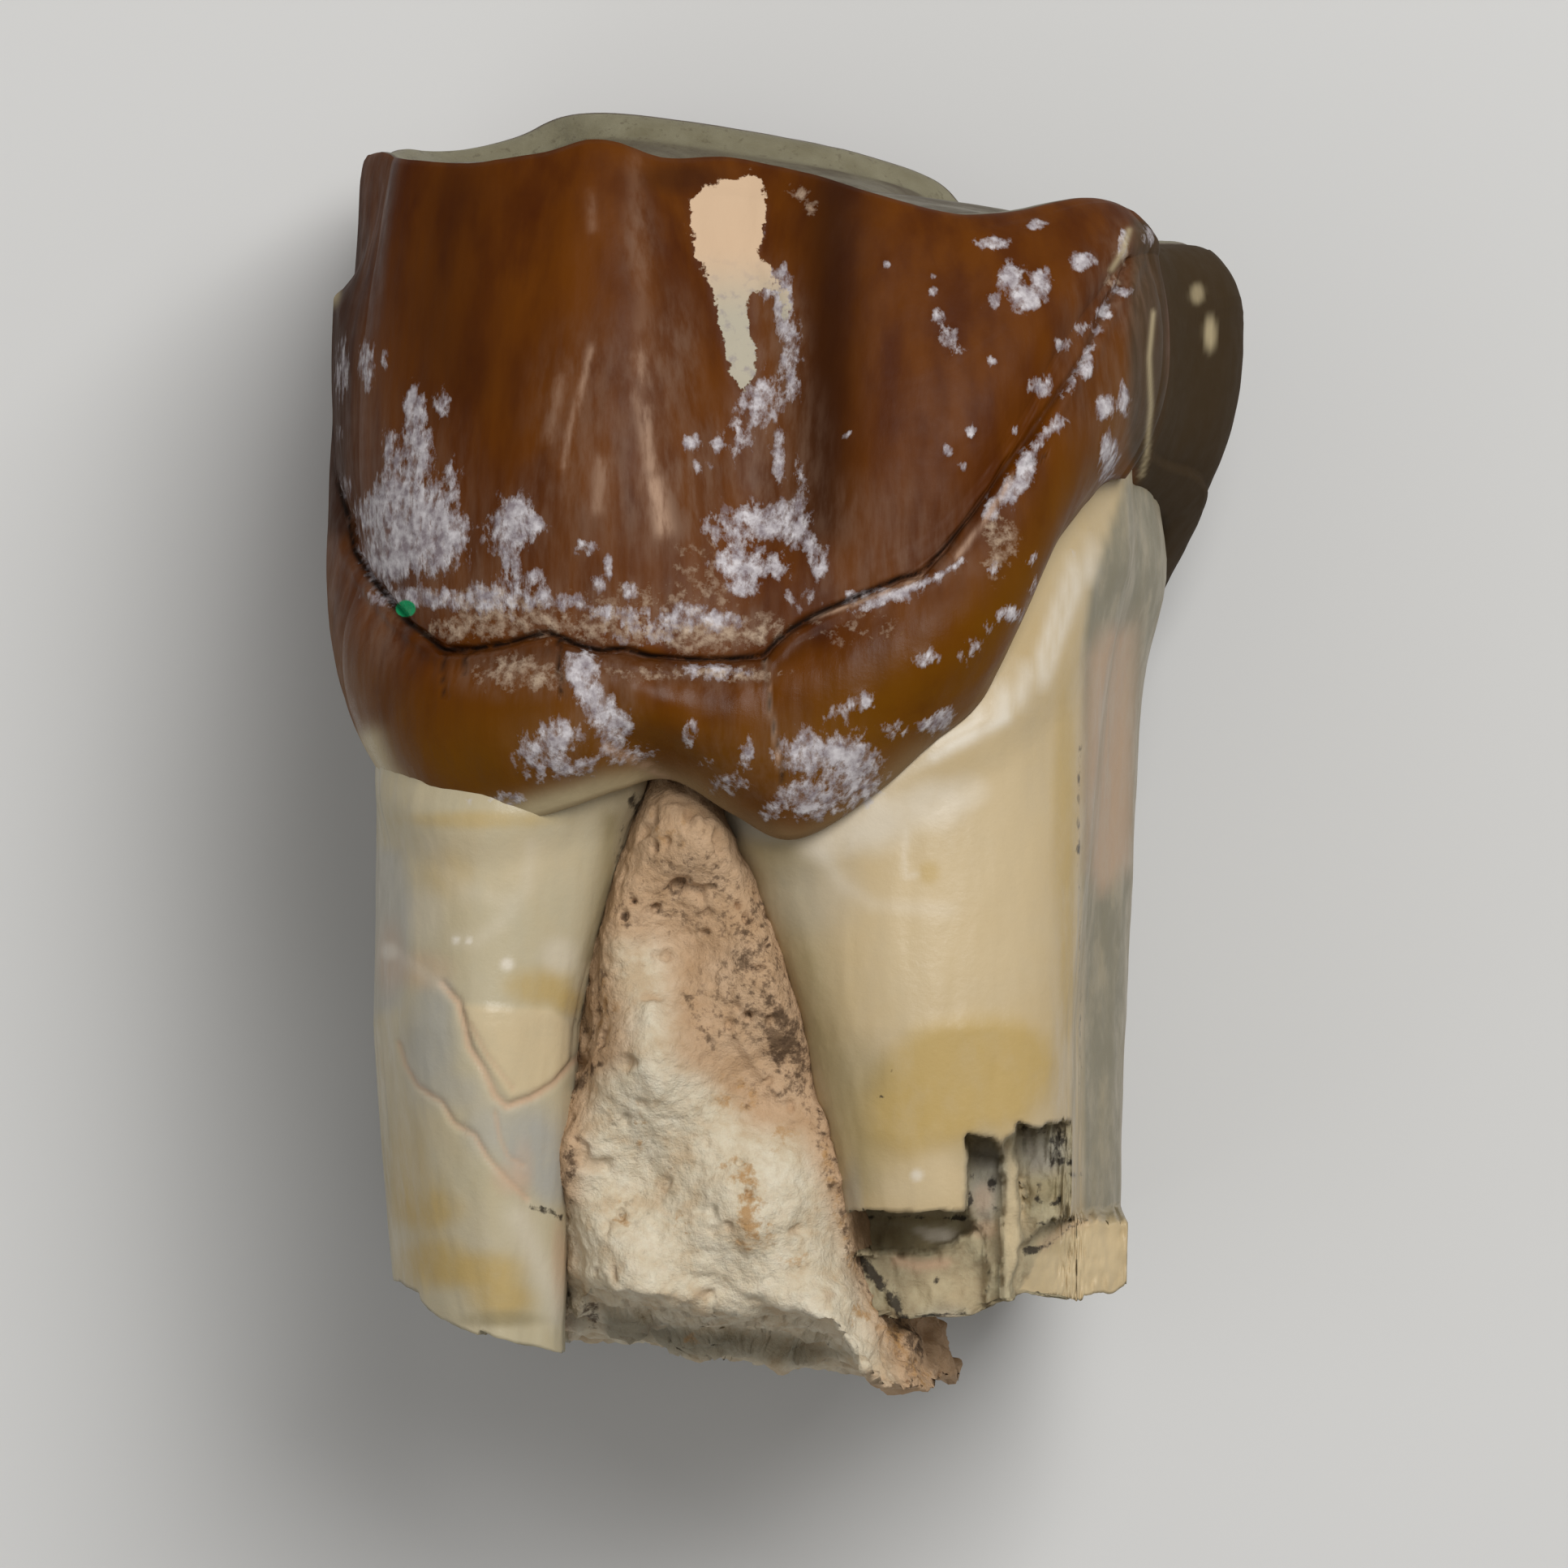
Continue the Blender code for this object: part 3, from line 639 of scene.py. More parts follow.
    def marks(self, skin: Surface, lips: int, levels: list[float], rim: Array) -> dict[str, Array]:
        """The crown's marks, one value for each point of its rings."""
        points = skin.points()
        pixels = VIEW.pixels(points)
        facing = rise(skin.normals()[:, 2], -0.05, 0.25) * rise(points[:, 2], 10.0, 13.0)
        rows = len(skin.grid)
        level = np.concatenate([np.zeros(lips), levels, np.full(rows - lips - len(levels), 2.0)])
        level = np.repeat(level, self.columns)
        margin = line_distance(MARGIN, pixels) * VIEW.mm_per_pixel
        soft_side = rise(-pixels[:, 0], -930.0, -700.0)
        away = line_distance(CREASE, pixels) * VIEW.mm_per_pixel
        reach = np.repeat(np.linspace(0, 1, rows), self.columns)
        columns = np.tile(np.arange(self.columns), rows)
        rim_away = np.linalg.norm(points - rim[columns], axis=1) * (reach > 0.5)
        plain = 1 - rise(points[:, 0], 6.5, 7.5)
        thin = 1 - 0.6 * rise(pixels[:, 0], 1130.0, 1260.0)
        line = facing * thin * hump(away, 0.060)
        dark_lines = np.maximum(line, hump((level - 1) * 3.0, 0.035) * (1 - facing) * plain)
        return {
            "deposit": facing * cover(DEPOSITS, pixels),
            "speckle": facing * cover(TAN_SPECKLE, pixels),
            "streak": facing * cover(MATRIX_STREAK, pixels),
            "streak_tone": rise(pixels[:, 1], 300.0, 400.0),
            # near-black along the crease and in the cracks
            "dark_lines": np.maximum(dark_lines, facing * cover(ENAMEL_CRACKS, pixels)),
            "amber": 1 - rise(level, 0.25, 0.98),
            "fade": hump(margin, 0.30) * (0.25 + 0.75 * soft_side) * (level < 1),
            # painted highlight streaks
            "highlight_streak": facing * cover(HIGHLIGHT_STREAKS, pixels),
            "green": facing * cover(GREEN_MARK, pixels),
            # painted shade: the valley's flank, the band under the crease and the left edge
            "shaded": np.maximum(facing * cover(SHADED, pixels), cover(LEFT_EDGE_SHADE, pixels)),
            "haze": facing * cover(HAZE, pixels),
            "dull": np.maximum(facing * cover(DULL, pixels), 1 - facing),
            "cream": cover(CORNER_CREAM, pixels) * rise(skin.normals()[:, 2], -0.2, 0.1),
            "corner": np.maximum(
                rise(points[:, 0] - 0.35 * (points[:, 2] - 13.0), 7.9, 8.8) * (1 - facing), cover(CONTACT, pixels)
            ),
            "worn": rim_away,
            "pit": -self.basins(points[:, 0], points[:, 2]) - self.dish,
        }


# Lilac-white film and scale on the enamel, from left to right
DEPOSITS = (
    Spot(418, 455, 14, 46, 0.8), Spot(452, 450, 12, 34, 0.75), Spot(475, 440, 8, 16, 0.6),
    Spot(411, 535, 12, 14, 0.85), Spot(425, 600, 10, 18, 0.7), Spot(455, 632, 22, 26, 0.8),
    Spot(510, 505, 17, 34, 0.95), Spot(545, 497, 12, 20, 0.7), Spot(483, 555, 14, 40, 0.7),
    Spot(515, 560, 22, 50, 0.85), Spot(485, 610, 30, 40, 0.9), Spot(525, 620, 30, 30, 0.8),
    Spot(515, 665, 66, 46, 1.0), Spot(475, 690, 34, 34, 0.95), Spot(560, 655, 24, 24, 0.85),
    Spot(555, 600, 16, 40, 0.6), Spot(505, 735, 60, 16, 0.75), Spot(536, 690, 16, 26, 0.7),
    Spot(633, 640, 30, 34, 0.95), Spot(628, 680, 16, 30, 0.85), Spot(655, 650, 20, 20, 0.7),
    Spot(610, 660, 16, 30, 0.6), Spot(650, 712, 22, 14, 0.65), Spot(575, 740, 80, 16, 0.6),
    Spot(722, 675, 18, 14, 0.7), Spot(748, 700, 8, 18, 0.85), Spot(735, 722, 12, 16, 0.8),
    Spot(775, 728, 12, 16, 0.8), Spot(760, 755, 40, 14, 0.6), Spot(690, 740, 46, 14, 0.6),
    Spot(852, 545, 14, 12, 0.95), Spot(884, 548, 12, 11, 0.85), Spot(865, 575, 16, 10, 0.5),
    Spot(965, 365, 14, 50, 0.85), Spot(945, 350, 12, 20, 0.8), Spot(975, 440, 16, 60, 0.7),
    Spot(940, 490, 34, 40, 0.65), Spot(915, 535, 26, 44, 0.5), Spot(960, 560, 10, 40, 0.75),
    Spot(985, 600, 16, 40, 0.5), Spot(905, 270, 60, 30, 0.25), Spot(925, 645, 34, 30, 0.76),
    Spot(970, 640, 34, 30, 0.76), Spot(990, 665, 24, 20, 0.64), Spot(905, 690, 36, 26, 0.72),
    Spot(915, 722, 24, 18, 0.8), Spot(945, 700, 40, 24, 0.56), Spot(1010, 690, 14, 30, 0.68),
    Spot(890, 765, 30, 18, 0.76), Spot(850, 760, 40, 20, 0.7), Spot(880, 650, 20, 36, 0.4),
    Spot(990, 735, 30, 20, 0.4), Spot(1045, 745, 10, 20, 0.64), Spot(1090, 735, 50, 12, 0.6),
    Spot(720, 830, 20, 36, 0.9), Spot(735, 865, 24, 22, 0.9), Spot(700, 820, 14, 20, 0.6),
    Spot(755, 895, 30, 30, 0.83), Spot(770, 930, 44, 14, 0.65), Spot(690, 905, 30, 26, 0.74),
    Spot(665, 930, 34, 34, 0.74), Spot(710, 945, 30, 14, 0.74), Spot(625, 985, 26, 12, 0.61),
    Spot(575, 985, 16, 10, 0.43), Spot(850, 905, 10, 22, 0.7), Spot(870, 940, 14, 10, 0.52),
    Spot(920, 930, 12, 26, 0.65), Spot(900, 965, 30, 16, 0.61), Spot(880, 828, 70, 12, 0.6),
    Spot(990, 930, 40, 34, 0.83), Spot(1040, 925, 40, 30, 0.78), Spot(1060, 960, 34, 44, 0.78),
    Spot(1000, 985, 44, 30, 0.83), Spot(950, 1000, 16, 14, 0.74), Spot(1030, 880, 16, 14, 0.61),
    Spot(1060, 865, 20, 14, 0.8), Spot(1100, 900, 20, 14, 0.61), Spot(1148, 895, 24, 12, 0.83),
    Spot(1165, 880, 16, 14, 0.78), Spot(1140, 812, 20, 12, 0.8), Spot(1195, 800, 20, 16, 0.5),
    Spot(1245, 757, 22, 12, 0.85), Spot(1215, 775, 10, 10, 0.6), Spot(1275, 755, 8, 14, 0.9),
    Spot(1275, 720, 7, 10, 0.9), Spot(1272, 690, 7, 10, 0.8), Spot(1225, 700, 12, 14, 0.7),
    Spot(1222, 300, 24, 9, 0.95), Spot(1245, 340, 20, 18, 1.0), Spot(1262, 368, 22, 18, 1.0),
    Spot(1285, 350, 16, 22, 0.9), Spot(1225, 370, 14, 12, 0.6), Spot(1277, 277, 16, 8, 0.9),
    Spot(1335, 322, 18, 13, 1.0), Spot(1150, 340, 5, 5, 0.9), Spot(1150, 357, 7, 9, 0.9),
    Spot(1155, 392, 12, 14, 0.6), Spot(1168, 415, 12, 14, 0.6), Spot(1180, 432, 10, 10, 0.6),
    Spot(1220, 444, 10, 8, 0.6), Spot(1094, 325, 6, 6, 0.7), Spot(1280, 475, 20, 16, 0.8),
    Spot(1310, 425, 12, 10, 0.8), Spot(1340, 450, 9, 20, 0.9), Spot(1362, 502, 16, 18, 1.0),
    Spot(1385, 492, 8, 26, 0.95), Spot(1366, 560, 14, 24, 0.7), Spot(1362, 590, 8, 22, 0.9),
    Spot(1195, 533, 8, 10, 0.9), Spot(1168, 555, 9, 9, 0.8), Spot(1184, 573, 8, 8, 0.9),
    Spot(1250, 530, 5, 8, 0.8), Spot(1305, 525, 14, 14, 0.5), Spot(1045, 536, 4, 4, 0.9),
    Spot(1265, 580, 14, 24, 1.0), Spot(1245, 605, 18, 20, 0.95), Spot(1222, 630, 14, 18, 0.85),
    Spot(1385, 360, 12, 8, 0.9), Spot(1360, 385, 14, 10, 0.75), Spot(1332, 405, 14, 9, 0.8),
    Spot(1415, 290, 10, 20, 0.5), Spot(1320, 680, 8, 10, 0.6), Spot(1340, 640, 8, 16, 0.6),
    Spot(1384, 300, 8, 20, 0.9), Spot(1366, 556, 12, 28, 0.9), Spot(1358, 615, 8, 26, 0.8), Spot(1372, 600, 6, 20, 0.7),
    Stroke(((1186, 690), (1160, 708), (1110, 730), (1062, 752)), 6.0, 0.9), Stroke(((1300, 520), (1262, 572)), 9.0, 0.8),
    Stroke(((1374, 345), (1345, 425), (1310, 490)), 6.0, 0.55), Spot(620, 735, 70, 30, 0.5), Spot(800, 775, 60, 24, 0.5),
)
# Tan crumbs of sediment above and below the crease, and on the right of the cingulum
TAN_SPECKLE = (
    Spot(570, 775, 60, 18, 0.95), Spot(640, 765, 70, 22, 0.85), Spot(740, 775, 90, 24, 0.75),
    Spot(860, 785, 80, 22, 0.9), Spot(930, 775, 50, 22, 0.9), Spot(600, 740, 90, 22, 0.55),
    Spot(800, 740, 120, 26, 0.55), Spot(640, 830, 60, 26, 0.95), Spot(915, 830, 60, 12, 0.8),
    Spot(800, 830, 80, 12, 0.6), Spot(1232, 665, 26, 38, 0.95), Spot(1225, 700, 20, 20, 0.6),
    Spot(1382, 308, 10, 22, 1.0), Spot(1370, 345, 12, 14, 0.8), Spot(985, 240, 14, 10, 0.95),
    Spot(1000, 258, 12, 10, 0.9), Spot(965, 235, 14, 8, 0.7), Spot(860, 700, 40, 40, 0.5),
    Spot(1060, 775, 70, 26, 0.4),
)
MATRIX_STREAK = (
    Area(((850, 250), (862, 236), (885, 226), (905, 222), (925, 214), (940, 226), (944, 250), (938, 290),
          (931, 318), (948, 328), (953, 342), (940, 356), (926, 362), (920, 385), (926, 410), (934, 432),
          (931, 465), (914, 481), (900, 462), (893, 425), (883, 385), (875, 345), (858, 322), (852, 285)), 5.0),
    Spot(968, 375, 9, 20, 0.75), Spot(952, 350, 12, 12, 0.8),
)
# Painted highlights: pink-white streaks where the gloss catches the light on the left lobe, at the enamel's notch,
# along the crease's lower lip, on the cingulum and beside a crack
HIGHLIGHT_STREAKS = (
    Stroke(((728, 430), (714, 490), (704, 520), (694, 575)), 4.5, 0.45),
    Stroke(((788, 440), (794, 470), (788, 490)), 9.0, 0.45),
    Stroke(((793, 505), (797, 540), (802, 575)), 9.0, 0.6),
    Stroke(((806, 596), (812, 620), (818, 650)), 11.0, 0.85),
    Stroke(((742, 570), (736, 625)), 9.0, 0.35),
    Stroke(((782, 200), (784, 300), (790, 340), (790, 420)), 12.0, 0.12),
    Stroke(((728, 240), (730, 280)), 6.0, 0.2), Stroke(((690, 470), (676, 540)), 7.0, 0.25),
    Stroke(((745, 920), (800, 945), (850, 985)), 6.0, 0.6),
    Stroke(((1000, 762), (1050, 745), (1135, 712)), 3.0, 0.8),
    Stroke(((1245, 590), (1215, 640), (1180, 685)), 4.0, 0.7),
    Stroke(((943, 815), (950, 880), (962, 950)), 2.5, 0.8),
)
# Painted shade on the dark flank beside the valley, the upper left lobe, a band under the crease and the crown's left
# edge; and where the gloss is lower
SHADED = (
    Stroke(((1028, 240), (1024, 400), (1020, 500), (1012, 640)), 42.0, 1.0),
    Stroke(((560, 240), (540, 380), (560, 460)), 60.0, 0.5), Spot(840, 220, 60, 20, 0.6),
    Stroke(((470, 720), (520, 800), (600, 815), (690, 800), (850, 830), (940, 825), (1010, 780)), 16.0, 0.5),
)
# Painted shade on the crown's left edge, which turns away from the light
LEFT_EDGE_SHADE = (
    Area(((380, 170), (438, 170), (450, 300), (436, 420), (432, 560), (440, 660), (380, 660)), 16.0, 0.9),
)
CONTACT = (Area(((1396, 270), (1440, 270), (1440, 595), (1408, 600), (1390, 560), (1392, 400)), 8.0, 0.9),)
HAZE = (
    Spot(740, 520, 90, 130, 0.5), Spot(830, 620, 60, 90, 0.65), Spot(700, 650, 120, 80, 0.43),
    Spot(900, 560, 80, 80, 0.43), Spot(830, 440, 40, 90, 0.58), Spot(790, 300, 30, 60, 0.36),
    Spot(1100, 640, 120, 60, 0.4), Spot(1060, 720, 90, 50, 0.43), Spot(560, 720, 110, 50, 0.58),
    Spot(760, 750, 200, 44, 0.65), Spot(900, 780, 80, 30, 0.65), Spot(1360, 440, 60, 140, 0.43),
    Spot(1390, 340, 40, 70, 0.5), Spot(640, 830, 90, 34, 0.65), Spot(740, 850, 60, 60, 0.58),
    Spot(860, 835, 110, 26, 0.5), Spot(470, 780, 30, 60, 0.5), Spot(450, 560, 40, 120, 0.36),
    Spot(960, 940, 130, 70, 0.36), Spot(700, 930, 70, 50, 0.43), Spot(965, 560, 60, 110, 0.5),
    Spot(960, 420, 40, 100, 0.58), Spot(540, 600, 60, 100, 0.29), Spot(1150, 690, 60, 30, 0.43),
)
DULL = (
    Area(((390, 160), (1440, 160), (1440, 600), (1300, 720), (1160, 760), (900, 800), (600, 790), (390, 640)), 30.0, 0.8),
)
# Marks on the corner behind, right of the crown
CORNER_CREAM = (
    Spot(1475, 362, 9, 14, 0.7), Spot(1491, 411, 8, 24, 1.0),
    Stroke(((1391, 284), (1384, 310), (1370, 332)), 4.0, 0.7), Stroke(((1421, 385), (1416, 440), (1418, 500), (1413, 560), (1406, 588)), 3.0, 0.8),
    Spot(411, 352, 10, 26, 1.0),
)
GREEN_MARK = (Spot(500, 750, 14, 12),)


@dataclass(frozen=True)
class Break:
    """A chip off the front of a root: its area in pixels and its floor.

    The floor has a height, a roughness and a look of freshness. A lean lets it fall to the right, by so many
    millimetres for each pixel past the area's first corner, and then it fills hollows too.
    """

    area: Area
    floor: float
    rough: float = 0.12
    fresh: float = 1.0
    lean: float = 0.0


RIGHT_BREAKS = (
    Break(Area(((1020, 1498), (1110, 1496), (1194, 1499), (1206, 1522), (1180, 1542), (1140, 1554), (1090, 1550),
                (1030, 1540)), 4.0), 14.3, 0.15),
    Break(Area(((1020, 1549), (1110, 1549), (1160, 1542), (1176, 1524), (1216, 1520), (1230, 1800),
                (1020, 1800)), 4.0), 15.3, 0.2),
    Break(Area(((1192, 1399), (1222, 1405), (1238, 1430), (1240, 1720), (1192, 1720)), 3.0), 15.6, 0.25),
    Break(Area(((1228, 1445), (1240, 1405), (1268, 1392), (1264, 1480), (1262, 1720), (1230, 1720)), 4.0), 16.2, 0.15),
    Break(Area(((1255, 1386), (1280, 1392), (1302, 1386), (1322, 1381), (1328, 1440), (1322, 1500),
                (1290, 1540), (1262, 1600), (1256, 1480)), 3.0), 14.9, 0.35),
    Break(Area(((1262, 1545), (1300, 1508), (1342, 1496), (1420, 1484), (1420, 1720), (1250, 1720),
                (1250, 1590)), 3.0), 14.7, 0.08, 0.15, 0.018),
)
# Height of the right root's end from left to right, in millimetres
RIGHT_END = (
    (1.3, -11.40), (3.8, -11.32), (4.25, -11.10), (4.9, -10.92), (5.5, -11.05), (6.1, -11.24), (6.7, -11.16), (7.3, -10.70),
)
# Thumb-shaped raised amber layer on the right root
AMBER_THUMB = (
    Area(((1070, 1400), (1078, 1330), (1098, 1292), (1120, 1274), (1150, 1262), (1200, 1252), (1240, 1254),
          (1265, 1262), (1292, 1280), (1302, 1310), (1290, 1350), (1255, 1385), (1190, 1400), (1120, 1420)), 18.0, 0.85),
)


@dataclass
class Root:
    """One broad root with its broken end."""

    shape: RootShape
    breaks: tuple[Break, ...] = ()
    columns: int = 340
    hidden_rows: int = 12
    rows: int = 168
    end_rows: int = 26
    hidden_above: float = 0.6
    collar: float = 0.24
    canal: float = 0.7
    shoulder_height: float = 3.9
    shoulder_width: float = 1.7

    def end(self, x: Array, z: Array) -> Array:
        """Height of the rough break across the root."""
        left = -11.15 - 0.30 * (x + 7.7) + 0.35 * rise(-x - 0.6, 6.2, 7.6)
        slope = np.where(x < -2.0, left, np.interp(x, *np.array(RIGHT_END).T))
        steps = 0.10 * np.sign(np.sin(1.9 * x + 0.7 * z)) + 0.13 * np.sin(0.9 * z + 0.8 * x)
        points = np.stack([x, np.zeros(len(x)), z], 1)
        return slope + np.where(x < -2.0, 0.6, 0.25) * steps + 0.14 * LUMPS.at(points, 0.9, 4)

    def ring(self, outlines: list[Array], lift: float, end: Array) -> Array:
        """A ring of the root, lift being 0 at the break and 1 at the neck."""
        top, middle, low = self.shape.heights
        y = end + lift * (top - end)
        height = np.clip((y - low) / (top - low), 0, 1)
        knee = (middle - low) / (top - low)
        upper = np.clip((height - knee) / (1 - knee), 0, 1)[:, None]
        lower = np.clip(height / knee, 0, 1)[:, None]
        neck, mid, tip = outlines
        xz = tip + (mid - tip) * lower**0.8 + (neck - mid) * upper
        swell = self.shape.shoulder * rise(xz[:, 0], 6.2, 7.2) * hump(y - self.shoulder_height, self.shoulder_width)
        tuck = self.shape.tuck * rise(y, 0.2, 2.4) * rise(xz[:, 1], 12.0, 16.5)
        return np.stack([xz[:, 0] + swell, y, xz[:, 1] - tuck], 1)

    def relief(self, skin: Surface) -> Array:
        """Fine height of the root: long ripples, cracks, the raised layers and the collar under the enamel."""
        points = skin.points()
        pixels = VIEW.pixels(points)
        front = rise(skin.normals()[:, 2], 0.05, 0.35)
        ripples = 0.05 * LUMPS.at(points, (0.9, 3.5, 0.9), 3) + 0.012 * LUMPS.at(points, (0.2, 0.9, 0.2), 2)
        layers = 0.05 * cover(AMBER_THUMB, pixels) + 0.05 * cover(FACETS, pixels)
        collar = self.collar * (1 - rise(line_distance(MARGIN, pixels) * VIEW.mm_per_pixel, 0.0, 1.1))
        cracks = 0.07 * cover(ROOT_CRACKS, pixels)
        return ripples + front * (layers + collar - cracks)

    def chip(self, skin: Surface) -> Array:
        """Takes the chips off the front of the root.

        Args:
            skin: The root's surface, with the broken end's rings first, which is changed.

        Returns:
            How far each point lies within a chip, from 0 to 1.
        """
        points = skin.points().copy()
        wobble = np.stack([LUMPS.at(points, 0.35, 3), LUMPS.at(points + 31.0, 0.35, 3)], 1) * 7.0
        pixels = VIEW.pixels(points) + wobble
        broken = np.zeros(len(points))
        for chip in self.breaks:
            seat = points * (1.0, 1.0, 0.0 if chip.lean else 1.0)
            floor = chip.floor + chip.rough * LUMPS.at(seat, (0.3, 0.5, 0.3), 4)
            cut = chip.area.weight(pixels)
            if chip.lean:
                floor = floor - chip.lean * (pixels[:, 0] - chip.area.points[0][0])
                wall = np.arange(len(points)) >= self.end_rows * self.columns
                drop = cut * np.where(wall & (points[:, 2] > 8.4), points[:, 2] - floor, np.maximum(points[:, 2] - floor, 0))
            else:
                drop = cut * np.maximum(points[:, 2] - floor, 0)
            points[:, 2] -= drop
            broken = np.maximum(broken, chip.fresh * cut * (drop > 0.02))
        skin.grid = points.reshape(skin.grid.shape)
        return broken

    def build(self) -> bpy.types.Object:
        """Builds the root and lays its marks on it."""
        levels = [np.array(level) for level in (self.shape.neck, self.shape.middle, self.shape.tip)]
        front = rise(levels[1][:, 1], 9.0, 14.0)
        places = even_places(levels[1], 0.3 + 0.7 * front, self.columns)
        outlines = [around(level, places) for level in levels]
        end = self.end(outlines[2][:, 0], outlines[2][:, 1])
        seen = (self.hidden_above + 11.3) / (self.shape.heights[0] + 11.3)
        lifts = list(np.linspace(0, seen, self.rows)) + list(np.linspace(seen, 1, self.hidden_rows + 1)[1:])
        wall = [self.ring(outlines, lift, end) for lift in lifts]
        middle = wall[0].mean(0)
        cap = []
        for share in (np.arange(1, self.end_rows + 1) / (self.end_rows + 1)) ** 1.2:
            ring = middle + share * (wall[0] - middle)
            ring[:, 1] = self.end(ring[:, 0], ring[:, 2]) + self.canal * (1 - rise(share, 0.25, 0.55))
            cap.append(ring)
        middle[1] = self.end(middle[:1], middle[2:])[0] + self.canal
        top = wall[-1].mean(0)
        skin = Surface([*cap, *wall], middle, top)
        heights = self.relief(skin).reshape(skin.grid.shape[:2])
        heights[: len(cap)] = 0
        skin.push(heights.ravel())
        broken = self.chip(skin)
        broken = np.maximum(broken, np.repeat(np.arange(len(skin.grid)) < len(cap), self.columns))
        depth = np.clip(1 - np.arange(len(skin.grid)) / len(cap), 0, 1)
        return skin.mesh(self.shape.name, self.marks(skin, broken) | {"core": np.repeat(depth, self.columns)})

    def marks(self, skin: Surface, broken: Array) -> dict[str, Array]:
        """The root's marks, one value for each point of its rings."""
        points = skin.points()
        pixels = VIEW.pixels(points)
        facing = rise(skin.normals()[:, 2], -0.1, 0.25)
        margin = line_distance(MARGIN, pixels) * VIEW.mm_per_pixel
        right = rise(pixels[:, 0], 1090.0, 1180.0)
        # The dentine's own tones, with painted shade in the olive wash, the back strip, the left edge and the dark
        # marks, and painted glints among the pale marks
        washes = {
            "amber": ROOT_AMBER, "cream": ROOT_CREAM, "olive_shade": ROOT_OLIVE_SHADE, "grey_and_edge_shade": ROOT_GREY_AND_EDGE_SHADE, "back_root_shade": ROOT_BACK_SHADE,
            "pink": ROOT_PINK + ROOT_CRACKS, "pale": PALE_ARCS_AND_GLINTS, "dark": ROOT_DARK_AND_SHADE,
        }
        found = {name: facing * cover(marks, pixels) for name, marks in washes.items()}
        found["pale"] = np.maximum(found["pale"], facing * right * hump(margin - 0.12, 0.14) * 0.8)
        return found | {
            "deposit": facing * cover(DEPOSITS, pixels) * hump(margin, 0.8),
            "side": 1 - facing,
            "warm": rise(points[:, 0], -2.0, 0.5),
            "broken": broken,
        }


ROOT_CRACKS = (
    Stroke(((492, 1285), (500, 1312), (515, 1338), (545, 1358), (560, 1384), (585, 1398), (600, 1425),
            (622, 1450), (650, 1478)), 3.5, 0.8),
    Stroke(((545, 1212), (565, 1235), (573, 1262), (578, 1290), (596, 1318), (610, 1350), (625, 1363), (655, 1352),
            (680, 1336), (702, 1312), (735, 1285)), 4.5, 1.0),
    Stroke(((580, 1262), (600, 1300), (620, 1326), (632, 1342)), 2.5, 0.6),
    Stroke(((610, 1370), (616, 1402), (626, 1425), (645, 1436)), 3.0, 0.6),
)
# Whitish arcs and patches of the dentine, with painted highlights: the glint in the hollow under the chipped ledge and
# the highlight line near the right root's top
PALE_ARCS_AND_GLINTS = (
    Stroke(((655, 1042), (650, 1090), (625, 1130), (585, 1160), (562, 1158)), 11.0, 0.20),
    Stroke(((530, 1040), (560, 1090), (620, 1110)), 12.0, 0.16),
    Stroke(((1010, 1050), (1040, 1090), (1075, 1114), (1112, 1118), (1170, 1122)), 11.0, 0.26),
    Stroke(((1116, 1024), (1114, 1060), (1116, 1080), (1128, 1078)), 5.0, 0.35),
    Stroke(((490, 1175), (530, 1205), (550, 1215)), 8.0, 0.25), Spot(562, 1158, 5, 5), Spot(578, 1159, 4, 4),
    Spot(625, 1188, 9, 9, 0.9), Spot(480, 1172, 12, 12, 0.7), Spot(1130, 1448, 9, 8, 0.8),
    Spot(1150, 990, 44, 34, 0.6), Stroke(((1150, 932), (1180, 915), (1210, 900), (1238, 884)), 9.0, 1.0),
    Spot(1070, 1010, 60, 44, 0.7), Spot(1020, 1040, 40, 24, 0.5), Spot(1190, 975, 30, 24, 0.4),
    Spot(1075, 940, 50, 30, 0.8), Spot(1158, 1521, 24, 9, 1.0), Spot(1156, 1522, 20, 7, 1.0),
    Spot(1135, 1516, 12, 5, 0.8), Spot(725, 1640, 20, 26, 0.7), Spot(690, 1178, 26, 26, 0.4),
    Stroke(((640, 1500), (665, 1560), (690, 1620)), 18.0, 0.45), Spot(520, 1130, 30, 40, 0.25),
)
FACETS = (
    Area(((570, 1238), (620, 1242), (680, 1244), (702, 1262), (700, 1308), (680, 1332), (655, 1348),
          (628, 1356), (600, 1308), (576, 1268)), 5.0),
)
ROOT_CREAM = (
    *FACETS, Spot(600, 1060, 100, 60, 0.4), Spot(1180, 1130, 120, 110, 0.6), Spot(1250, 1010, 60, 100, 0.6),
    Spot(1340, 1556, 60, 60, 0.9), Spot(1130, 1450, 60, 44, 0.7), Spot(1248, 1500, 16, 90, 0.9),
    Spot(1168, 1590, 52, 32, 0.6),
)
ROOT_AMBER = (
    Spot(665, 1216, 44, 26, 0.8), Spot(700, 1235, 20, 18, 0.8), Spot(530, 1492, 44, 26, 0.7),
    Spot(590, 1566, 60, 26, 0.9), Spot(620, 1600, 44, 26, 0.8), Spot(500, 1440, 30, 60, 0.45),
    Spot(535, 1555, 44, 34, 0.9), Spot(520, 1480, 40, 40, 0.6),
    Spot(1100, 1360, 60, 50, 0.6), Spot(1090, 1400, 60, 50, 0.5), Spot(1312, 1000, 16, 200, 0.6),
    Spot(1316, 1200, 12, 120, 0.5), Spot(550, 1075, 40, 30, 0.4), Spot(1160, 1380, 60, 40, 0.4),
    Spot(1145, 1075, 14, 16, 0.7), Spot(590, 1010, 100, 12, 0.6), Spot(1215, 1400, 30, 20, 0.5), *AMBER_THUMB,
)
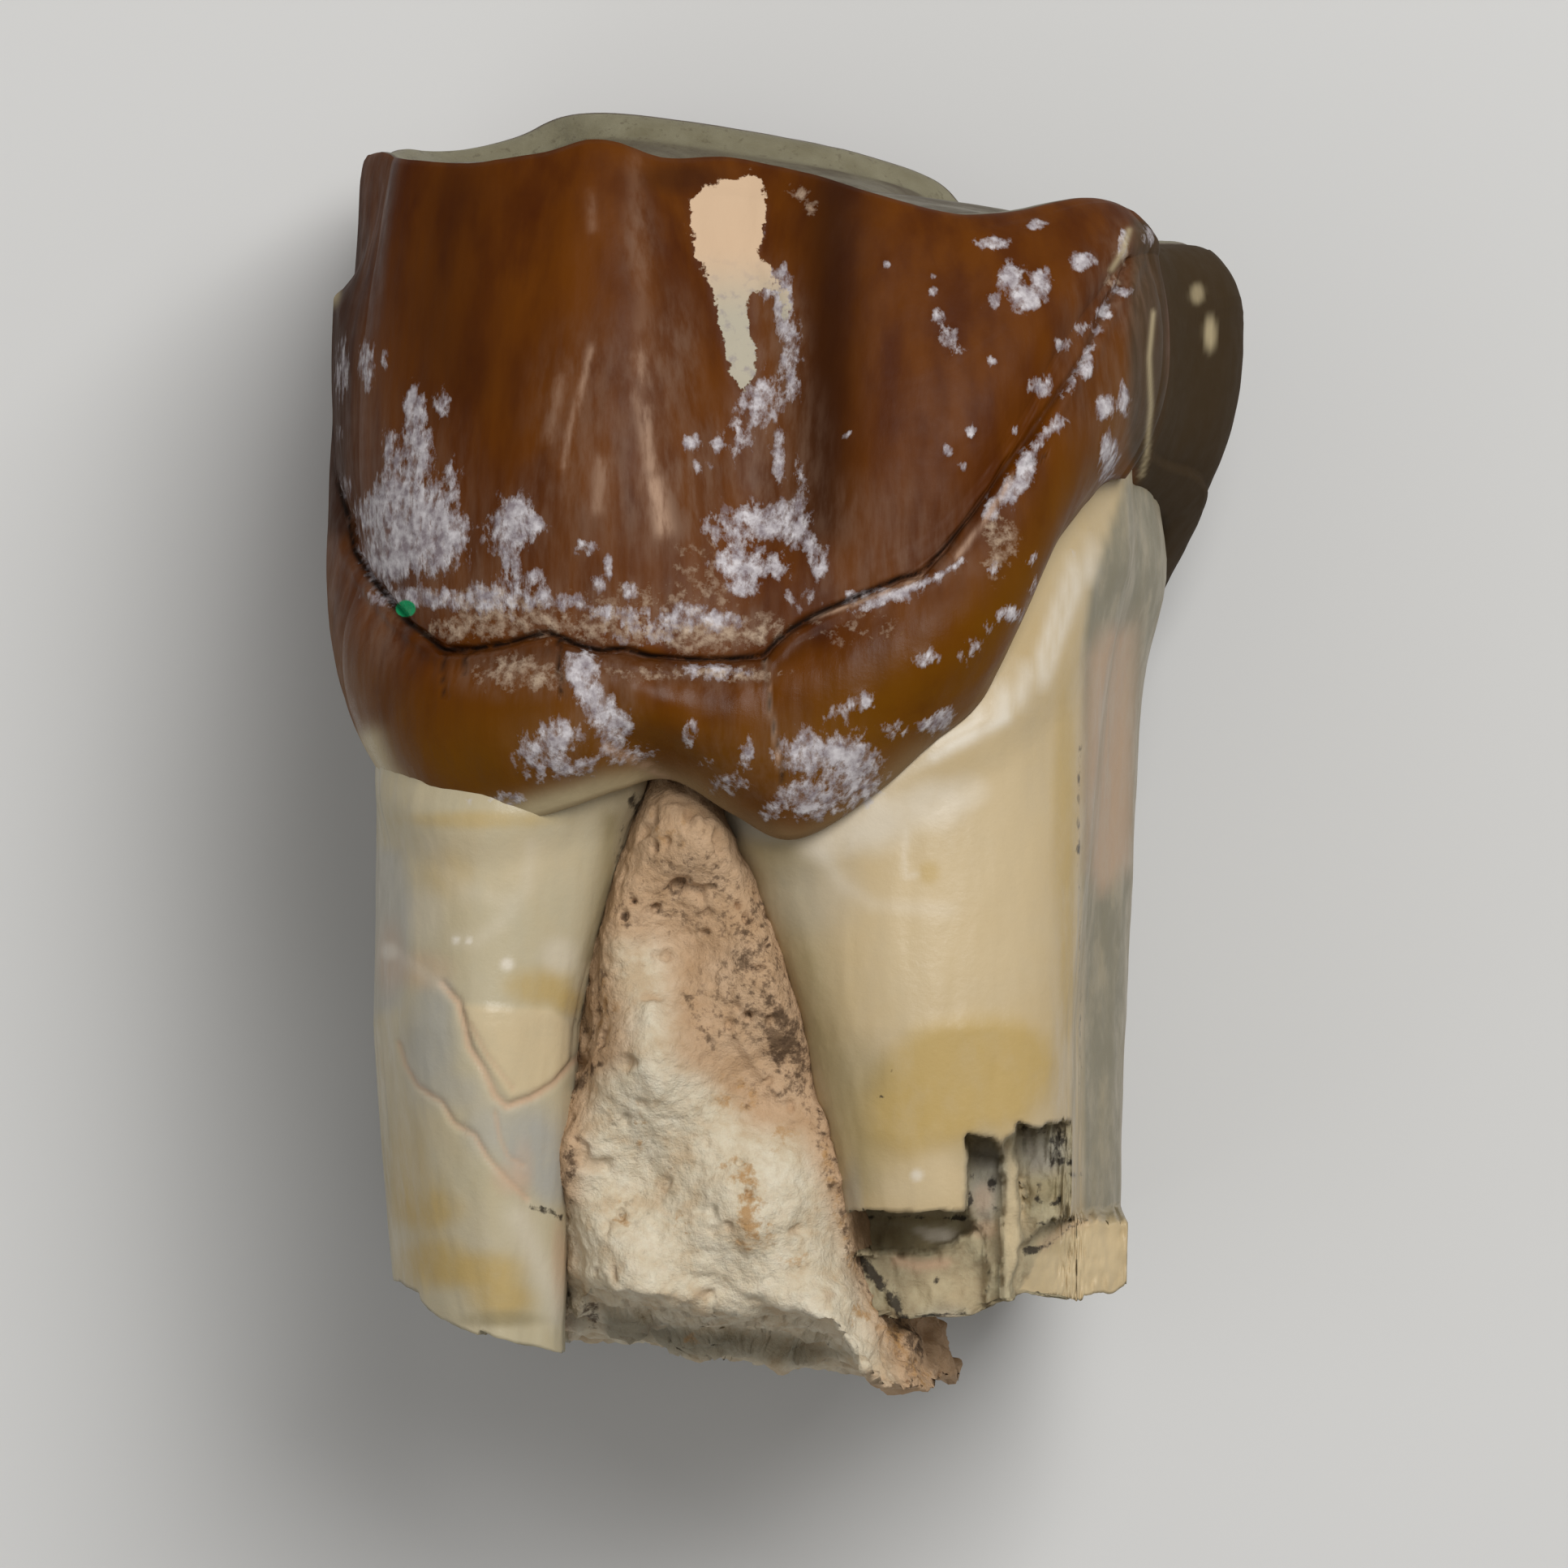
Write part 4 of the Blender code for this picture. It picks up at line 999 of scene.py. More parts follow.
# Olive tone that is mostly painted shade: beside the rock, on the roots' left edges, in the hollow under the chipped
# ledge and under the back tip
ROOT_OLIVE_SHADE = (
    Stroke(((975, 1060), (985, 1150), (1005, 1250), (1035, 1350), (1060, 1450)), 32.0, 0.85),
    Stroke(((752, 1010), (750, 1080), (742, 1130), (728, 1180)), 12.0, 0.85), Spot(940, 1060, 40, 50, 0.7),
    Spot(1060, 1320, 44, 40, 0.5), Spot(470, 1440, 14, 100, 0.5), Spot(620, 1625, 50, 12, 0.9),
    Spot(1125, 1528, 64, 18, 0.9), Spot(1130, 1502, 60, 5, 0.9), Spot(1290, 1465, 22, 20, 0.7),
    Spot(1200, 1420, 30, 24, 0.4), Spot(1300, 1535, 36, 12, 0.4),
)
# Blue-grey tone of the dentine, and painted shade on the left root's left edge, which turns away from the light
ROOT_GREY_AND_EDGE_SHADE = (
    Area(((440, 1040), (492, 1050), (508, 1110), (505, 1180), (492, 1240), (440, 1260)), 12.0, 0.75),
    Spot(530, 1290, 36, 70, 0.8), Spot(535, 1235, 26, 30, 0.6), Spot(655, 1415, 48, 60, 0.95),
    Spot(600, 1390, 30, 36, 0.6), Spot(680, 1455, 24, 36, 0.9), Spot(565, 1345, 34, 24, 0.5),
    Spot(940, 1010, 60, 30, 0.6),
    Spot(1215, 1450, 26, 60, 0.7), Spot(1285, 1420, 36, 30, 0.6), Spot(1000, 1100, 60, 60, 0.35),
    Spot(1165, 1650, 44, 40, 0.7), Spot(1050, 1490, 14, 60, 0.5),
)
# Painted shade on the recessed back root, right of the front root
ROOT_BACK_SHADE = (
    Area(((1334, 800), (1345, 720), (1372, 640), (1392, 580), (1470, 570), (1470, 720), (1425, 1500), (1334, 1496)),
         7.0, 0.9),
)
ROOT_PINK = (
    Area(((1342, 800), (1366, 772), (1400, 770), (1396, 1060), (1376, 1085), (1356, 1102), (1340, 1070),
          (1336, 960)), 16.0, 0.85),
    Spot(520, 1195, 40, 26, 0.5), Spot(480, 1180, 20, 50, 0.5), Spot(645, 1440, 14, 40, 0.35),
    Spot(1165, 1640, 26, 20, 0.6), Stroke(((1105, 1553), (1130, 1560), (1165, 1556)), 7.0, 0.9),
    Spot(1212, 1515, 20, 12, 0.6), Spot(690, 1560, 12, 60, 0.7), Spot(1212, 1475, 14, 20, 0.5),
    Stroke(((1285, 1535), (1310, 1515), (1345, 1500)), 7.0, 0.5), Spot(628, 1452, 24, 22, 0.5),
)
# Near-black specks, cracks and cut lines of the root, and painted shade in the gap under the enamel, the notch beside
# the rock, the slit under the chipped ledge and the crevice by the rock
ROOT_DARK_AND_SHADE = (
    Spot(1196, 1450, 6, 6), Spot(1194, 1478, 5, 14), Spot(1222, 1462, 7, 12, 0.7), Spot(1225, 1492, 8, 9, 0.7),
    Spot(1300, 1400, 20, 14, 0.75), Spot(1302, 1425, 12, 20, 0.7), Spot(1266, 1388, 16, 6, 0.6),
    Stroke(((1279, 1462), (1277, 1478), (1288, 1486), (1303, 1482), (1308, 1472)), 4.0, 0.75),
    Spot(1324, 1447, 10, 5, 0.9), Spot(1318, 1432, 6, 5, 0.7), Spot(1270, 1540, 12, 6, 0.9),
    Spot(1284, 1507, 8, 4, 0.8), Spot(1178, 1501, 16, 4, 1.0), Stroke(((1060, 1500), (1190, 1500)), 3.0, 0.6),
    Stroke(((1264, 1545), (1292, 1534), (1318, 1512), (1345, 1500), (1385, 1492)), 3.5, 0.8),
    Spot(1154, 1577, 6, 6), Spot(1328, 1047, 4, 7, 1.0), Stroke(((1062, 1556), (1080, 1575), (1105, 1612),
                                                                (1130, 1650)), 9.0, 1.0),
    Stroke(((1135, 1622), (1190, 1618)), 4.0, 0.7), Stroke(((655, 1488), (675, 1492), (690, 1500)), 5.0, 0.9),
    Stroke(((1318, 1503), (1340, 1496), (1388, 1488)), 2.5, 0.8), Stroke(((1331, 920), (1329, 1000), (1331, 1340)), 2.5, 0.42),
    Stroke(((1076, 1358), (1082, 1352), (1090, 1350)), 1.8, 0.6), Spot(785, 985, 16, 20, 0.5), Spot(735, 1630, 16, 34, 0.9),
    Spot(712, 1250, 12, 16, 0.5), Stroke(((766, 1020), (762, 1070)), 5.0, 0.5), Spot(1098, 1318, 3, 3, 0.5),
)


@dataclass
class RockWedge:
    """The wedge of siltstone between the roots, crumbly and pitted."""

    heights: tuple[float, ...] = (0.60, -1.28, -2.93, -5.36, -7.79, -10.13, -12.85)
    left: tuple[float, ...] = (-2.50, -2.87, -3.40, -4.00, -4.23, -4.62, -3.90)
    right: tuple[float, ...] = (-1.50, -1.27, -0.54, 0.24, 0.83, 1.36, 2.45)
    front: float = 17.4
    back: float = 1.9
    bulge: float = 0.35
    lump: float = 0.28
    columns: int = 330
    rows: int = 230
    end_rows: int = 40

    def outline(self, y: float) -> Array:
        """The wedge's ring at one height."""
        left = through(self.heights[::-1], self.left[::-1], np.array([y]))[0] - 0.10
        right = through(self.heights[::-1], self.right[::-1], np.array([y]))[0] + 0.10
        fine = -np.linspace(0, math.tau, 4000)
        across, deep = np.cos(fine), np.sin(fine)
        across = np.sign(across) * np.abs(across) ** 0.4
        deep = np.sign(deep) * np.abs(deep) ** 0.4
        fuller = 1 + self.bulge * (1 - np.abs(deep))
        x = (left + right) / 2 + (right - left) / 2 * across * fuller
        z = (self.front + self.back) / 2 + (self.front - self.back) / 2 * deep
        steps = np.hypot(np.diff(x), np.diff(z)) * (0.25 + 0.75 * rise((z[1:] + z[:-1]) / 2, 13.0, 16.0))
        total = np.concatenate([[0], np.cumsum(steps)])
        wanted = np.arange(self.columns) / self.columns * total[-1]
        x, z, deep = (np.interp(wanted, total, values) for values in (x, z, deep))
        lump = self.lump * (np.sin(1.7 * x + 0.9 * y) + np.sin(1.3 * y - 1.1 * x + 2.0))
        under_crown = 1.2 * float(rise(np.array(y), -2.0, 0.4))
        return np.stack([x, np.full(self.columns, y), z + deep * (lump - under_crown)], 1)

    def end(self, x: Array, z: Array) -> Array:
        """Height of the broken lower end: the front layer stops short of the layer behind it."""
        slope = -12.55 - 0.12 * x
        points = np.stack([x, np.zeros(len(x)), z], 1)
        ragged = z + 0.9 * LUMPS.at(points + 17.0, 0.9, 4)
        terraces = 0.5 * rise(ragged, 13.0, 13.9) + 0.25 * rise(ragged, 14.6, 15.3) + 0.25 * rise(ragged, 15.9, 16.6)
        short = 1.35 * terraces * (1 - rise(x, 0.8, 2.0))
        return slope + short + 0.24 * LUMPS.at(points, 1.1, 4) + 0.08 * LUMPS.at(points, 0.35, 3)

    def build(self) -> bpy.types.Object:
        """Builds the wedge and lays its marks on it."""
        low, high = self.heights[-1], self.heights[0]
        wall = []
        for step in range(self.rows):
            share = step / (self.rows - 1)
            ring = self.outline(low + (high - low) * share)
            floor = self.end(ring[:, 0], ring[:, 2])
            ring[:, 1] = floor + (high - floor) * share
            wall.append(ring)
        middle = wall[0].mean(0)
        cap = []
        for share in (np.arange(1, self.end_rows + 1) / (self.end_rows + 1)) ** 1.2:
            ring = middle + share * (wall[0] - middle)
            ring[:, 1] = self.end(ring[:, 0], ring[:, 2])
            cap.append(ring)
        middle[1] = self.end(middle[:1], middle[2:])[0]
        skin = Surface([*cap, *wall], middle, wall[-1].mean(0))
        skin.push(self.relief(skin))
        return skin.mesh("rock_wedge_skin", self.marks(skin))

    def relief(self, skin: Surface) -> Array:
        """Fine height of the rock: lumps, grains, pits and the crumbly right edge."""
        points = skin.points()
        pixels = VIEW.pixels(points)
        broken = 1 - rise(points[:, 1], -11.2, -10.2)
        lumps = 0.16 * LUMPS.at(points, 1.5, 3) + 0.09 * LUMPS.at(points + 5.0, 0.55, 4)
        lumps += broken * (0.34 * LUMPS.at(points + 3.0, (1.3, 0.5, 0.7), 4) + 0.07 * LUMPS.at(points, 0.25, 3))
        grain = 0.035 * LUMPS.at(points + 11.0, 0.16, 2)
        pits = 0.16 * rise(LUMPS.at(points + 23.0, 0.42, 2), 0.30, 0.75)
        holes = 0.30 * cover(ROCK_HOLES, pixels)
        ridge = 0.16 * cover(ROCK_RIDGES, pixels) * (1 + 0.7 * LUMPS.at(points, 0.3, 3))
        return lumps + grain + ridge - pits - holes

    def marks(self, skin: Surface) -> dict[str, Array]:
        """The rock's marks, one value for each point of its rings."""
        points = skin.points()
        pixels = VIEW.pixels(points)
        return {
            "chalk": cover(ROCK_CHALK, pixels),
            # stains, with painted shade in the crevices
            "stain": np.maximum(cover(ROCK_STAIN_AND_CREVICE_SHADE, pixels), cover(ROCK_HOLES, pixels)),
            "orange": cover(ROCK_ORANGE, pixels),
            "speck": cover(ROCK_SPECK, pixels),
            "shade": cover(ROCK_SHADE, pixels) * rise(points[:, 2], 11.0, 14.0),
            "pit": rise(LUMPS.at(points + 23.0, 0.42, 2), 0.25, 0.7),
        }


ROCK_CHALK = (
    Stroke(((795, 1190), (800, 1250), (805, 1340)), 30.0, 0.95), Stroke(((765, 1170), (775, 1215)), 16.0, 0.7),
    Area(((735, 1330), (790, 1300), (870, 1330), (930, 1390), (985, 1400), (1012, 1460), (1035, 1530), (1060, 1600),
          (1100, 1700), (700, 1700), (686, 1500), (712, 1480), (722, 1400)), 22.0, 1.0),
)
# Brown stains of the rock, and painted shade in the crevice beside the right root, the notch by the left root and the
# gap under the enamel
ROCK_STAIN_AND_CREVICE_SHADE = (
    Stroke(((925, 1180), (950, 1240), (975, 1300), (985, 1340)), 22.0, 0.75), Spot(968, 1285, 24, 44, 0.85),
    Stroke(((845, 1222), (858, 1250), (876, 1292)), 8.0, 0.6), Stroke(((742, 1200), (738, 1240)), 9.0, 0.6),
    Stroke(((708, 1232), (716, 1260), (712, 1300)), 12.0, 0.6), Stroke(((735, 1312), (712, 1338), (704, 1350)), 8.0, 0.9),
    Stroke(((712, 1380), (704, 1420), (700, 1450), (694, 1470)), 10.0, 0.75), Spot(935, 1350, 36, 24, 0.45),
    Stroke(((1008, 1370), (1014, 1395)), 5.0, 0.9), Stroke(((1028, 1425), (1036, 1475), (1040, 1520)), 6.0, 0.65),
    Stroke(((1060, 1553), (1080, 1580), (1105, 1620), (1130, 1655)), 9.0, 1.0), Spot(728, 1618, 14, 22, 0.9),
    Stroke(((1110, 1640), (1135, 1668)), 9.0, 0.6), Stroke(((770, 1020), (765, 1060)), 5.0, 0.5),
)
ROCK_ORANGE = (
    Spot(840, 1510, 14, 20, 0.8), Spot(905, 1440, 30, 20, 0.65), Spot(925, 1480, 24, 44, 0.8), Spot(930, 1520, 30, 30, 0.7),
    Spot(765, 1435, 12, 50, 0.6), Spot(788, 1390, 10, 34, 0.6), Spot(975, 1545, 40, 20, 0.5), Spot(765, 1500, 16, 20, 0.5),
    Spot(745, 1240, 18, 60, 0.5), Spot(692, 1530, 14, 60, 0.6), Spot(905, 1345, 50, 26, 0.6), Spot(955, 1400, 30, 30, 0.5),
    Stroke(((1080, 1600), (1110, 1660), (1140, 1700)), 16.0, 0.8), Spot(1060, 1620, 20, 20, 0.7), Spot(850, 1650, 30, 12, 0.5),
    Stroke(((1012, 1400), (1035, 1500), (1050, 1560)), 9.0, 0.6), Spot(820, 1020, 50, 30, 0.4),
)
ROCK_SPECK = (
    Spot(850, 1090, 80, 80, 0.75), Spot(925, 1150, 40, 70, 0.9), Spot(900, 1240, 60, 60, 0.8), Spot(965, 1290, 34, 60, 1.0),
    Spot(735, 1270, 30, 70, 0.7), Spot(800, 1430, 80, 100, 0.35), Spot(900, 1560, 150, 60, 0.3),
    Stroke(((940, 1130), (1000, 1350), (1045, 1540), (1130, 1690)), 14.0, 0.9), Spot(770, 1130, 16, 40, 0.8),
    Spot(700, 1440, 14, 80, 0.8), Spot(690, 1540, 12, 60, 0.6),
)
ROCK_SHADE = (
    Area(((745, 1612), (800, 1628), (860, 1640), (940, 1648), (1010, 1655), (1050, 1668), (980, 1680), (880, 1675),
          (800, 1665), (745, 1652)), 9.0, 0.85),
    Spot(930, 1650, 60, 10, 0.5),
)
ROCK_HOLES = (
    Spot(833, 1096, 11, 9), Spot(809, 1121, 6, 6, 0.8), Spot(806, 1045, 5, 7, 0.7), Spot(780, 1111, 5, 4, 0.7),
    Spot(769, 1129, 6, 7, 0.7), Spot(912, 1115, 5, 5, 0.7), Spot(922, 1130, 7, 8, 0.8), Spot(946, 1164, 4, 7, 0.7),
    Spot(933, 1192, 14, 4, 0.8), Spot(867, 1149, 6, 4, 0.6), Spot(921, 1252, 7, 7, 0.7), Spot(878, 1094, 6, 3, 0.5),
    Spot(912, 1430, 7, 5, 0.5), Spot(924, 1467, 7, 7, 0.6), Spot(766, 1495, 6, 8, 0.5),
)
ROCK_RIDGES = (
    Stroke(((1005, 1372), (1020, 1430), (1034, 1490), (1045, 1540)), 8.0, 0.8),
    Stroke(((905, 1270), (930, 1310), (960, 1345)), 7.0, 0.7), Stroke(((795, 1190), (800, 1250), (812, 1340)), 22.0, 0.5),
    Stroke(((700, 1560), (800, 1590), (900, 1600), (1040, 1590)), 16.0, 0.5),
)


class Wiring:
    """Adds nodes to a tree and joins them."""

    def __init__(self, tree: bpy.types.NodeTree) -> None:
        self.tree = tree

    def node(self, kind: str, feeds: dict | None = None, **settings) -> bpy.types.Node:
        """Adds a node.

        Args:
            kind: Blender's name for the node.
            feeds: Input sockets by name or number, each with a value or the socket that feeds it.
            **settings: The node's own settings.

        Returns:
            The new node.
        """
        made = self.tree.nodes.new(kind)
        for name, value in settings.items():
            setattr(made, name, value)
        for name, value in (feeds or {}).items():
            self.feed(made.inputs[name], value)
        return made

    def feed(self, socket: bpy.types.NodeSocket, value: object) -> None:
        """Joins a socket to another, or gives it a value."""
        if isinstance(value, bpy.types.NodeSocket):
            self.tree.links.new(value, socket)
        elif isinstance(value, tuple) and len(value) == 3 and socket.type == "RGBA":
            socket.default_value = (*value, 1.0)
        else:
            socket.default_value = value

    def position(self) -> bpy.types.NodeSocket:
        """Places on the surface, in millimetres."""
        place = self.node("ShaderNodeTexCoord").outputs["Object"]
        return self.stretched(place, (1000.0, 1000.0, 1000.0))

    def stretched(self, place: bpy.types.NodeSocket, factor: tuple[float, float, float]) -> bpy.types.NodeSocket:
        """A place multiplied along X, Y and Z."""
        return self.node("ShaderNodeVectorMath", {0: place, 1: factor}, operation="MULTIPLY").outputs[0]

    def mark(self, name: str) -> bpy.types.NodeSocket:
        """A mark that the mesh carries."""
        return self.node("ShaderNodeAttribute", attribute_name=name).outputs["Fac"]

    def sum(self, operation: str, one: object, other: object = 0.0, clamp: bool = False) -> bpy.types.NodeSocket:
        """Two values put together by an operation of the Math node."""
        return self.node("ShaderNodeMath", {0: one, 1: other}, operation=operation, use_clamp=clamp).outputs[0]

    def ramp(self, value: object, low: float, high: float, start: float = 0.0, end: float = 1.0) -> bpy.types.NodeSocket:
        """A value taken smoothly from one range to another."""
        feeds = {"Value": value, "From Min": low, "From Max": high, "To Min": start, "To Max": end}
        return self.node("ShaderNodeMapRange", feeds, interpolation_type="SMOOTHSTEP").outputs[0]

    def blend(self, share: object, one: object, other: object) -> bpy.types.NodeSocket:
        """A colour between two colours."""
        made = self.node("ShaderNodeMix", data_type="RGBA")
        for number, value in ((0, share), (6, one), (7, other)):
            self.feed(made.inputs[number], value)
        return made.outputs[2]

    def noise(self, place: object, scale: float, detail: float = 4.0, rough: float = 0.55) -> bpy.types.NodeSocket:
        """Cloudy values round 0.5."""
        feeds = {"Vector": place, "Scale": scale, "Detail": detail, "Roughness": rough}
        return self.node("ShaderNodeTexNoise", feeds).outputs["Fac"]


class Effect(Enum):
    """The effects that more than one finish uses."""

    SPECKLED_COVER = "speckled cover"
    CLOUDY_TONE = "cloudy tone"
    FINE_GRAIN = "fine grain"


class Effects:
    """The shared effects, each built once as a node group."""

    def __init__(self) -> None:
        self.groups = {
            Effect.SPECKLED_COVER: self.speckled_cover(),
            Effect.CLOUDY_TONE: self.cloudy_tone(),
            Effect.FINE_GRAIN: self.fine_grain(),
        }

    def place(self, wiring: Wiring, effect: Effect, feeds: dict) -> bpy.types.NodeSocket:
        """Places an effect in a material.

        Args:
            wiring: The material's wiring.
            effect: Which effect it is.
            feeds: The group's inputs by name.

        Returns:
            The effect's output.
        """
        node = wiring.node("ShaderNodeGroup")
        node.node_tree = self.groups[effect]
        for name, value in feeds.items():
            wiring.feed(node.inputs[name], value)
        return node.outputs[0]

    def start(self, effect: Effect, inputs: tuple[str, ...], output: str) -> tuple[Wiring, dict, bpy.types.Node]:
        """Starts a group with a Position input and number inputs.

        Args:
            effect: Which effect it is.
            inputs: Names of its number inputs.
            output: Name of its one output.

        Returns:
            The group's wiring, its input sockets by name, and its output node.
        """
        tree = bpy.data.node_groups.new(effect.value, "ShaderNodeTree")
        tree.interface.new_socket("Position", in_out="INPUT", socket_type="NodeSocketVector")
        for name in inputs:
            tree.interface.new_socket(name, in_out="INPUT", socket_type="NodeSocketFloat")
        tree.interface.new_socket(output, in_out="OUTPUT", socket_type="NodeSocketFloat")
        wiring = Wiring(tree)
        given = wiring.node("NodeGroupInput").outputs
        return wiring, {name: given[name] for name in ("Position", *inputs)}, wiring.node("NodeGroupOutput")

    def speckled_cover(self) -> bpy.types.NodeTree:
        """A broken film that grows from specks to a full cover as its density goes from 0 to 1."""
        wiring, given, out = self.start(Effect.SPECKLED_COVER, ("Density", "Scale", "Softness"), "Mask")
        coarse = wiring.noise(given["Position"], given["Scale"], 5.0, 0.66)
        wide = wiring.ramp(coarse, 0.30, 0.70)
        level = wiring.sum("SUBTRACT", wiring.sum("ADD", wide, given["Density"]), 1.0)
        share = wiring.sum("DIVIDE", level, given["Softness"], clamp=True)
        wiring.feed(out.inputs["Mask"], share)
        return wiring.tree

    def cloudy_tone(self) -> bpy.types.NodeTree:
        """Soft clouds, from 0 to 1, for colour that varies over the surface."""
        wiring, given, out = self.start(Effect.CLOUDY_TONE, ("Scale", "Contrast"), "Tone")
        cloud = wiring.noise(given["Position"], given["Scale"], 5.0, 0.6)
        spread = wiring.sum("MULTIPLY", wiring.sum("SUBTRACT", cloud, 0.5), given["Contrast"])
        wiring.feed(out.inputs["Tone"], wiring.sum("ADD", spread, 0.5, clamp=True))
        return wiring.tree

    def fine_grain(self) -> bpy.types.NodeTree:
        """The height of fine grains, for bumps."""
        wiring, given, out = self.start(Effect.FINE_GRAIN, ("Scale", "Depth"), "Height")
        grain = wiring.noise(given["Position"], given["Scale"], 6.0, 0.65)
        wiring.feed(out.inputs["Height"], wiring.sum("MULTIPLY", grain, given["Depth"]))
        return wiring.tree


def new_finish(name: str) -> tuple[bpy.types.Material, Wiring, bpy.types.Node]:
    """Starts a material.

    Args:
        name: The finish's name.

    Returns:
        The material, its wiring and its main shader.
    """
    material = bpy.data.materials.new(name)
    material.use_nodes = True
    return material, Wiring(material.node_tree), material.node_tree.nodes["Principled BSDF"]


@dataclass(frozen=True)
class EnamelFinish:
    """Glossy red-brown enamel with amber below, lilac-white film, sediment crumbs, a dark line in the crease, painted
    shade and painted highlight streaks.
    """

    effects: Effects
    # deep is the colour of the painted shade
    deep: Colour = (0.020, 0.0045, 0.0004)
    dark: Colour = (0.048, 0.0090, 0.0002)
    mid: Colour = (0.106, 0.0280, 0.0003)
    amber: Colour = (0.126, 0.0455, 0.0008)
    cream: Colour = (0.42, 0.34, 0.20)
    corner: Colour = (0.046, 0.028, 0.012)
    lilac: Colour = (0.23, 0.195, 0.21)
    white: Colour = (0.60, 0.57, 0.58)
    tan: Colour = (0.27, 0.18, 0.12)
    crumb: Colour = (0.47, 0.36, 0.26)
    peach: Colour = (0.55, 0.39, 0.255)
    stone_green: Colour = (0.40, 0.36, 0.275)
    haze: Colour = (0.19, 0.115, 0.075)
    # near-black of the line along the crease and the cracks
    near_black: Colour = (0.010, 0.005, 0.003)
    # pink is the tint of the painted highlight streaks
    pink: Colour = (0.42, 0.27, 0.18)
    green: Colour = (0.01, 0.30, 0.11)
    roughness: float = 0.27
    name: str = "enamel"
    shine: float = 0.10

    def make(self) -> bpy.types.Material:
        """Makes the enamel's material."""
        material, w, shader = new_finish(self.name)
        place = w.position()
        effects = self.effects
        streaks = w.noise(w.stretched(place, (1.3, 0.30, 1.3)), 1.0, 4.0, 0.5)
        threads = w.noise(w.stretched(place, (4.5, 0.8, 4.5)), 1.0, 4.0, 0.6)
        clouds = effects.place(w, Effect.CLOUDY_TONE, {"Position": place, "Scale": 0.45, "Contrast": 2.2})
        colour = w.blend(w.ramp(streaks, 0.28, 0.72), self.dark, self.mid)
        colour = w.blend(w.sum("MULTIPLY", clouds, 0.55), colour, self.mid)
        # painted shade where the shaded mark lies
        colour = w.blend(w.sum("MULTIPLY", w.mark("shaded"), 0.8), colour, self.deep)
        band = w.sum("MULTIPLY", w.mark("amber"), w.ramp(clouds, 0.05, 0.8, 0.45, 1.0))
        colour = w.blend(band, colour, self.amber)
        colour = w.blend(w.mark("corner"), colour, self.corner)
        colour = w.blend(w.mark("fade"), colour, self.cream)
        haze = w.sum("MULTIPLY", w.mark("haze"), w.ramp(threads, 0.32, 0.72, 0.12, 0.75))
        colour = w.blend(haze, colour, self.haze)
        film = effects.place(w, Effect.SPECKLED_COVER, {
            "Position": w.stretched(place, (1.25, 0.7, 1.25)), "Density": w.sum("MULTIPLY", w.mark("deposit"), 1.35),
            "Scale": 3.8, "Softness": 0.70,
        })
        film_tone = effects.place(w, Effect.CLOUDY_TONE, {"Position": place, "Scale": 4.0, "Contrast": 3.2})
        colour = w.blend(w.sum("MULTIPLY", film, 0.90), colour, w.blend(film_tone, self.lilac, self.white))
        crumbs = effects.place(w, Effect.SPECKLED_COVER, {
            "Position": place, "Density": w.sum("MULTIPLY", w.mark("speckle"), 0.98), "Scale": 4.6, "Softness": 0.85,
        })
        colour = w.blend(w.sum("MULTIPLY", crumbs, 0.85), colour, w.blend(film_tone, self.tan, self.crumb))
        # painted highlight streaks in pink-white
        highlight_streak = w.sum("MULTIPLY", w.mark("highlight_streak"), w.ramp(threads, 0.30, 0.60, 0.3, 1.0))
        colour = w.blend(highlight_streak, colour, self.pink)
        streak = effects.place(w, Effect.SPECKLED_COVER, {
            "Position": place, "Density": w.sum("MULTIPLY", w.mark("streak"), 1.22), "Scale": 3.6, "Softness": 0.22,
        })
        streak_colour = w.blend(w.mark("streak_tone"), self.peach, self.stone_green)
        mottle = w.sum("MULTIPLY", w.mark("streak_tone"), w.ramp(film_tone, 0.5, 0.0, 0.0, 0.55))
        streak_colour = w.blend(mottle, streak_colour, self.lilac)
        colour = w.blend(streak, colour, streak_colour)
        colour = w.blend(w.mark("cream"), colour, self.cream)
        # near-black along the crease and in the cracks
        near_black = w.sum("MULTIPLY", w.mark("dark_lines"), w.ramp(w.noise(place, 3.0), 0.30, 0.52))
        colour = w.blend(near_black, colour, self.near_black)
        colour = w.blend(w.ramp(w.mark("green"), 0.35, 0.6), colour, self.green)
        w.feed(shader.inputs["Base Color"], colour)
        covered = w.sum("MAXIMUM", w.sum("MAXIMUM", film, crumbs), w.sum("MAXIMUM", streak, near_black))
        uneven = w.ramp(w.noise(place, 2.0), 0.2, 0.8, self.roughness - 0.06, self.roughness + 0.08)
        uneven = w.sum("ADD", uneven, w.sum("MULTIPLY", w.mark("dull"), 0.26))
        rough = w.node("ShaderNodeMix", {0: covered, 2: uneven, 3: 0.85}, data_type="FLOAT")
        w.feed(shader.inputs["Roughness"], rough.outputs[0])
        grain = effects.place(w, Effect.FINE_GRAIN, {"Position": place, "Scale": 6.0, "Depth": 0.22})
        lines = w.sum("MULTIPLY", w.noise(w.stretched(place, (5.0, 0.7, 5.0)), 1.0, 3.0), 0.30)
        height = w.sum("ADD", w.sum("ADD", grain, lines), w.sum("MULTIPLY", covered, 0.9))
        bump = w.node("ShaderNodeBump", {"Height": height, "Strength": 0.35, "Distance": 0.00006})
        w.feed(shader.inputs["Normal"], bump.outputs[0])
        shader.inputs["IOR"].default_value = 1.45
        shader.inputs["Specular IOR Level"].default_value = self.shine
        return material


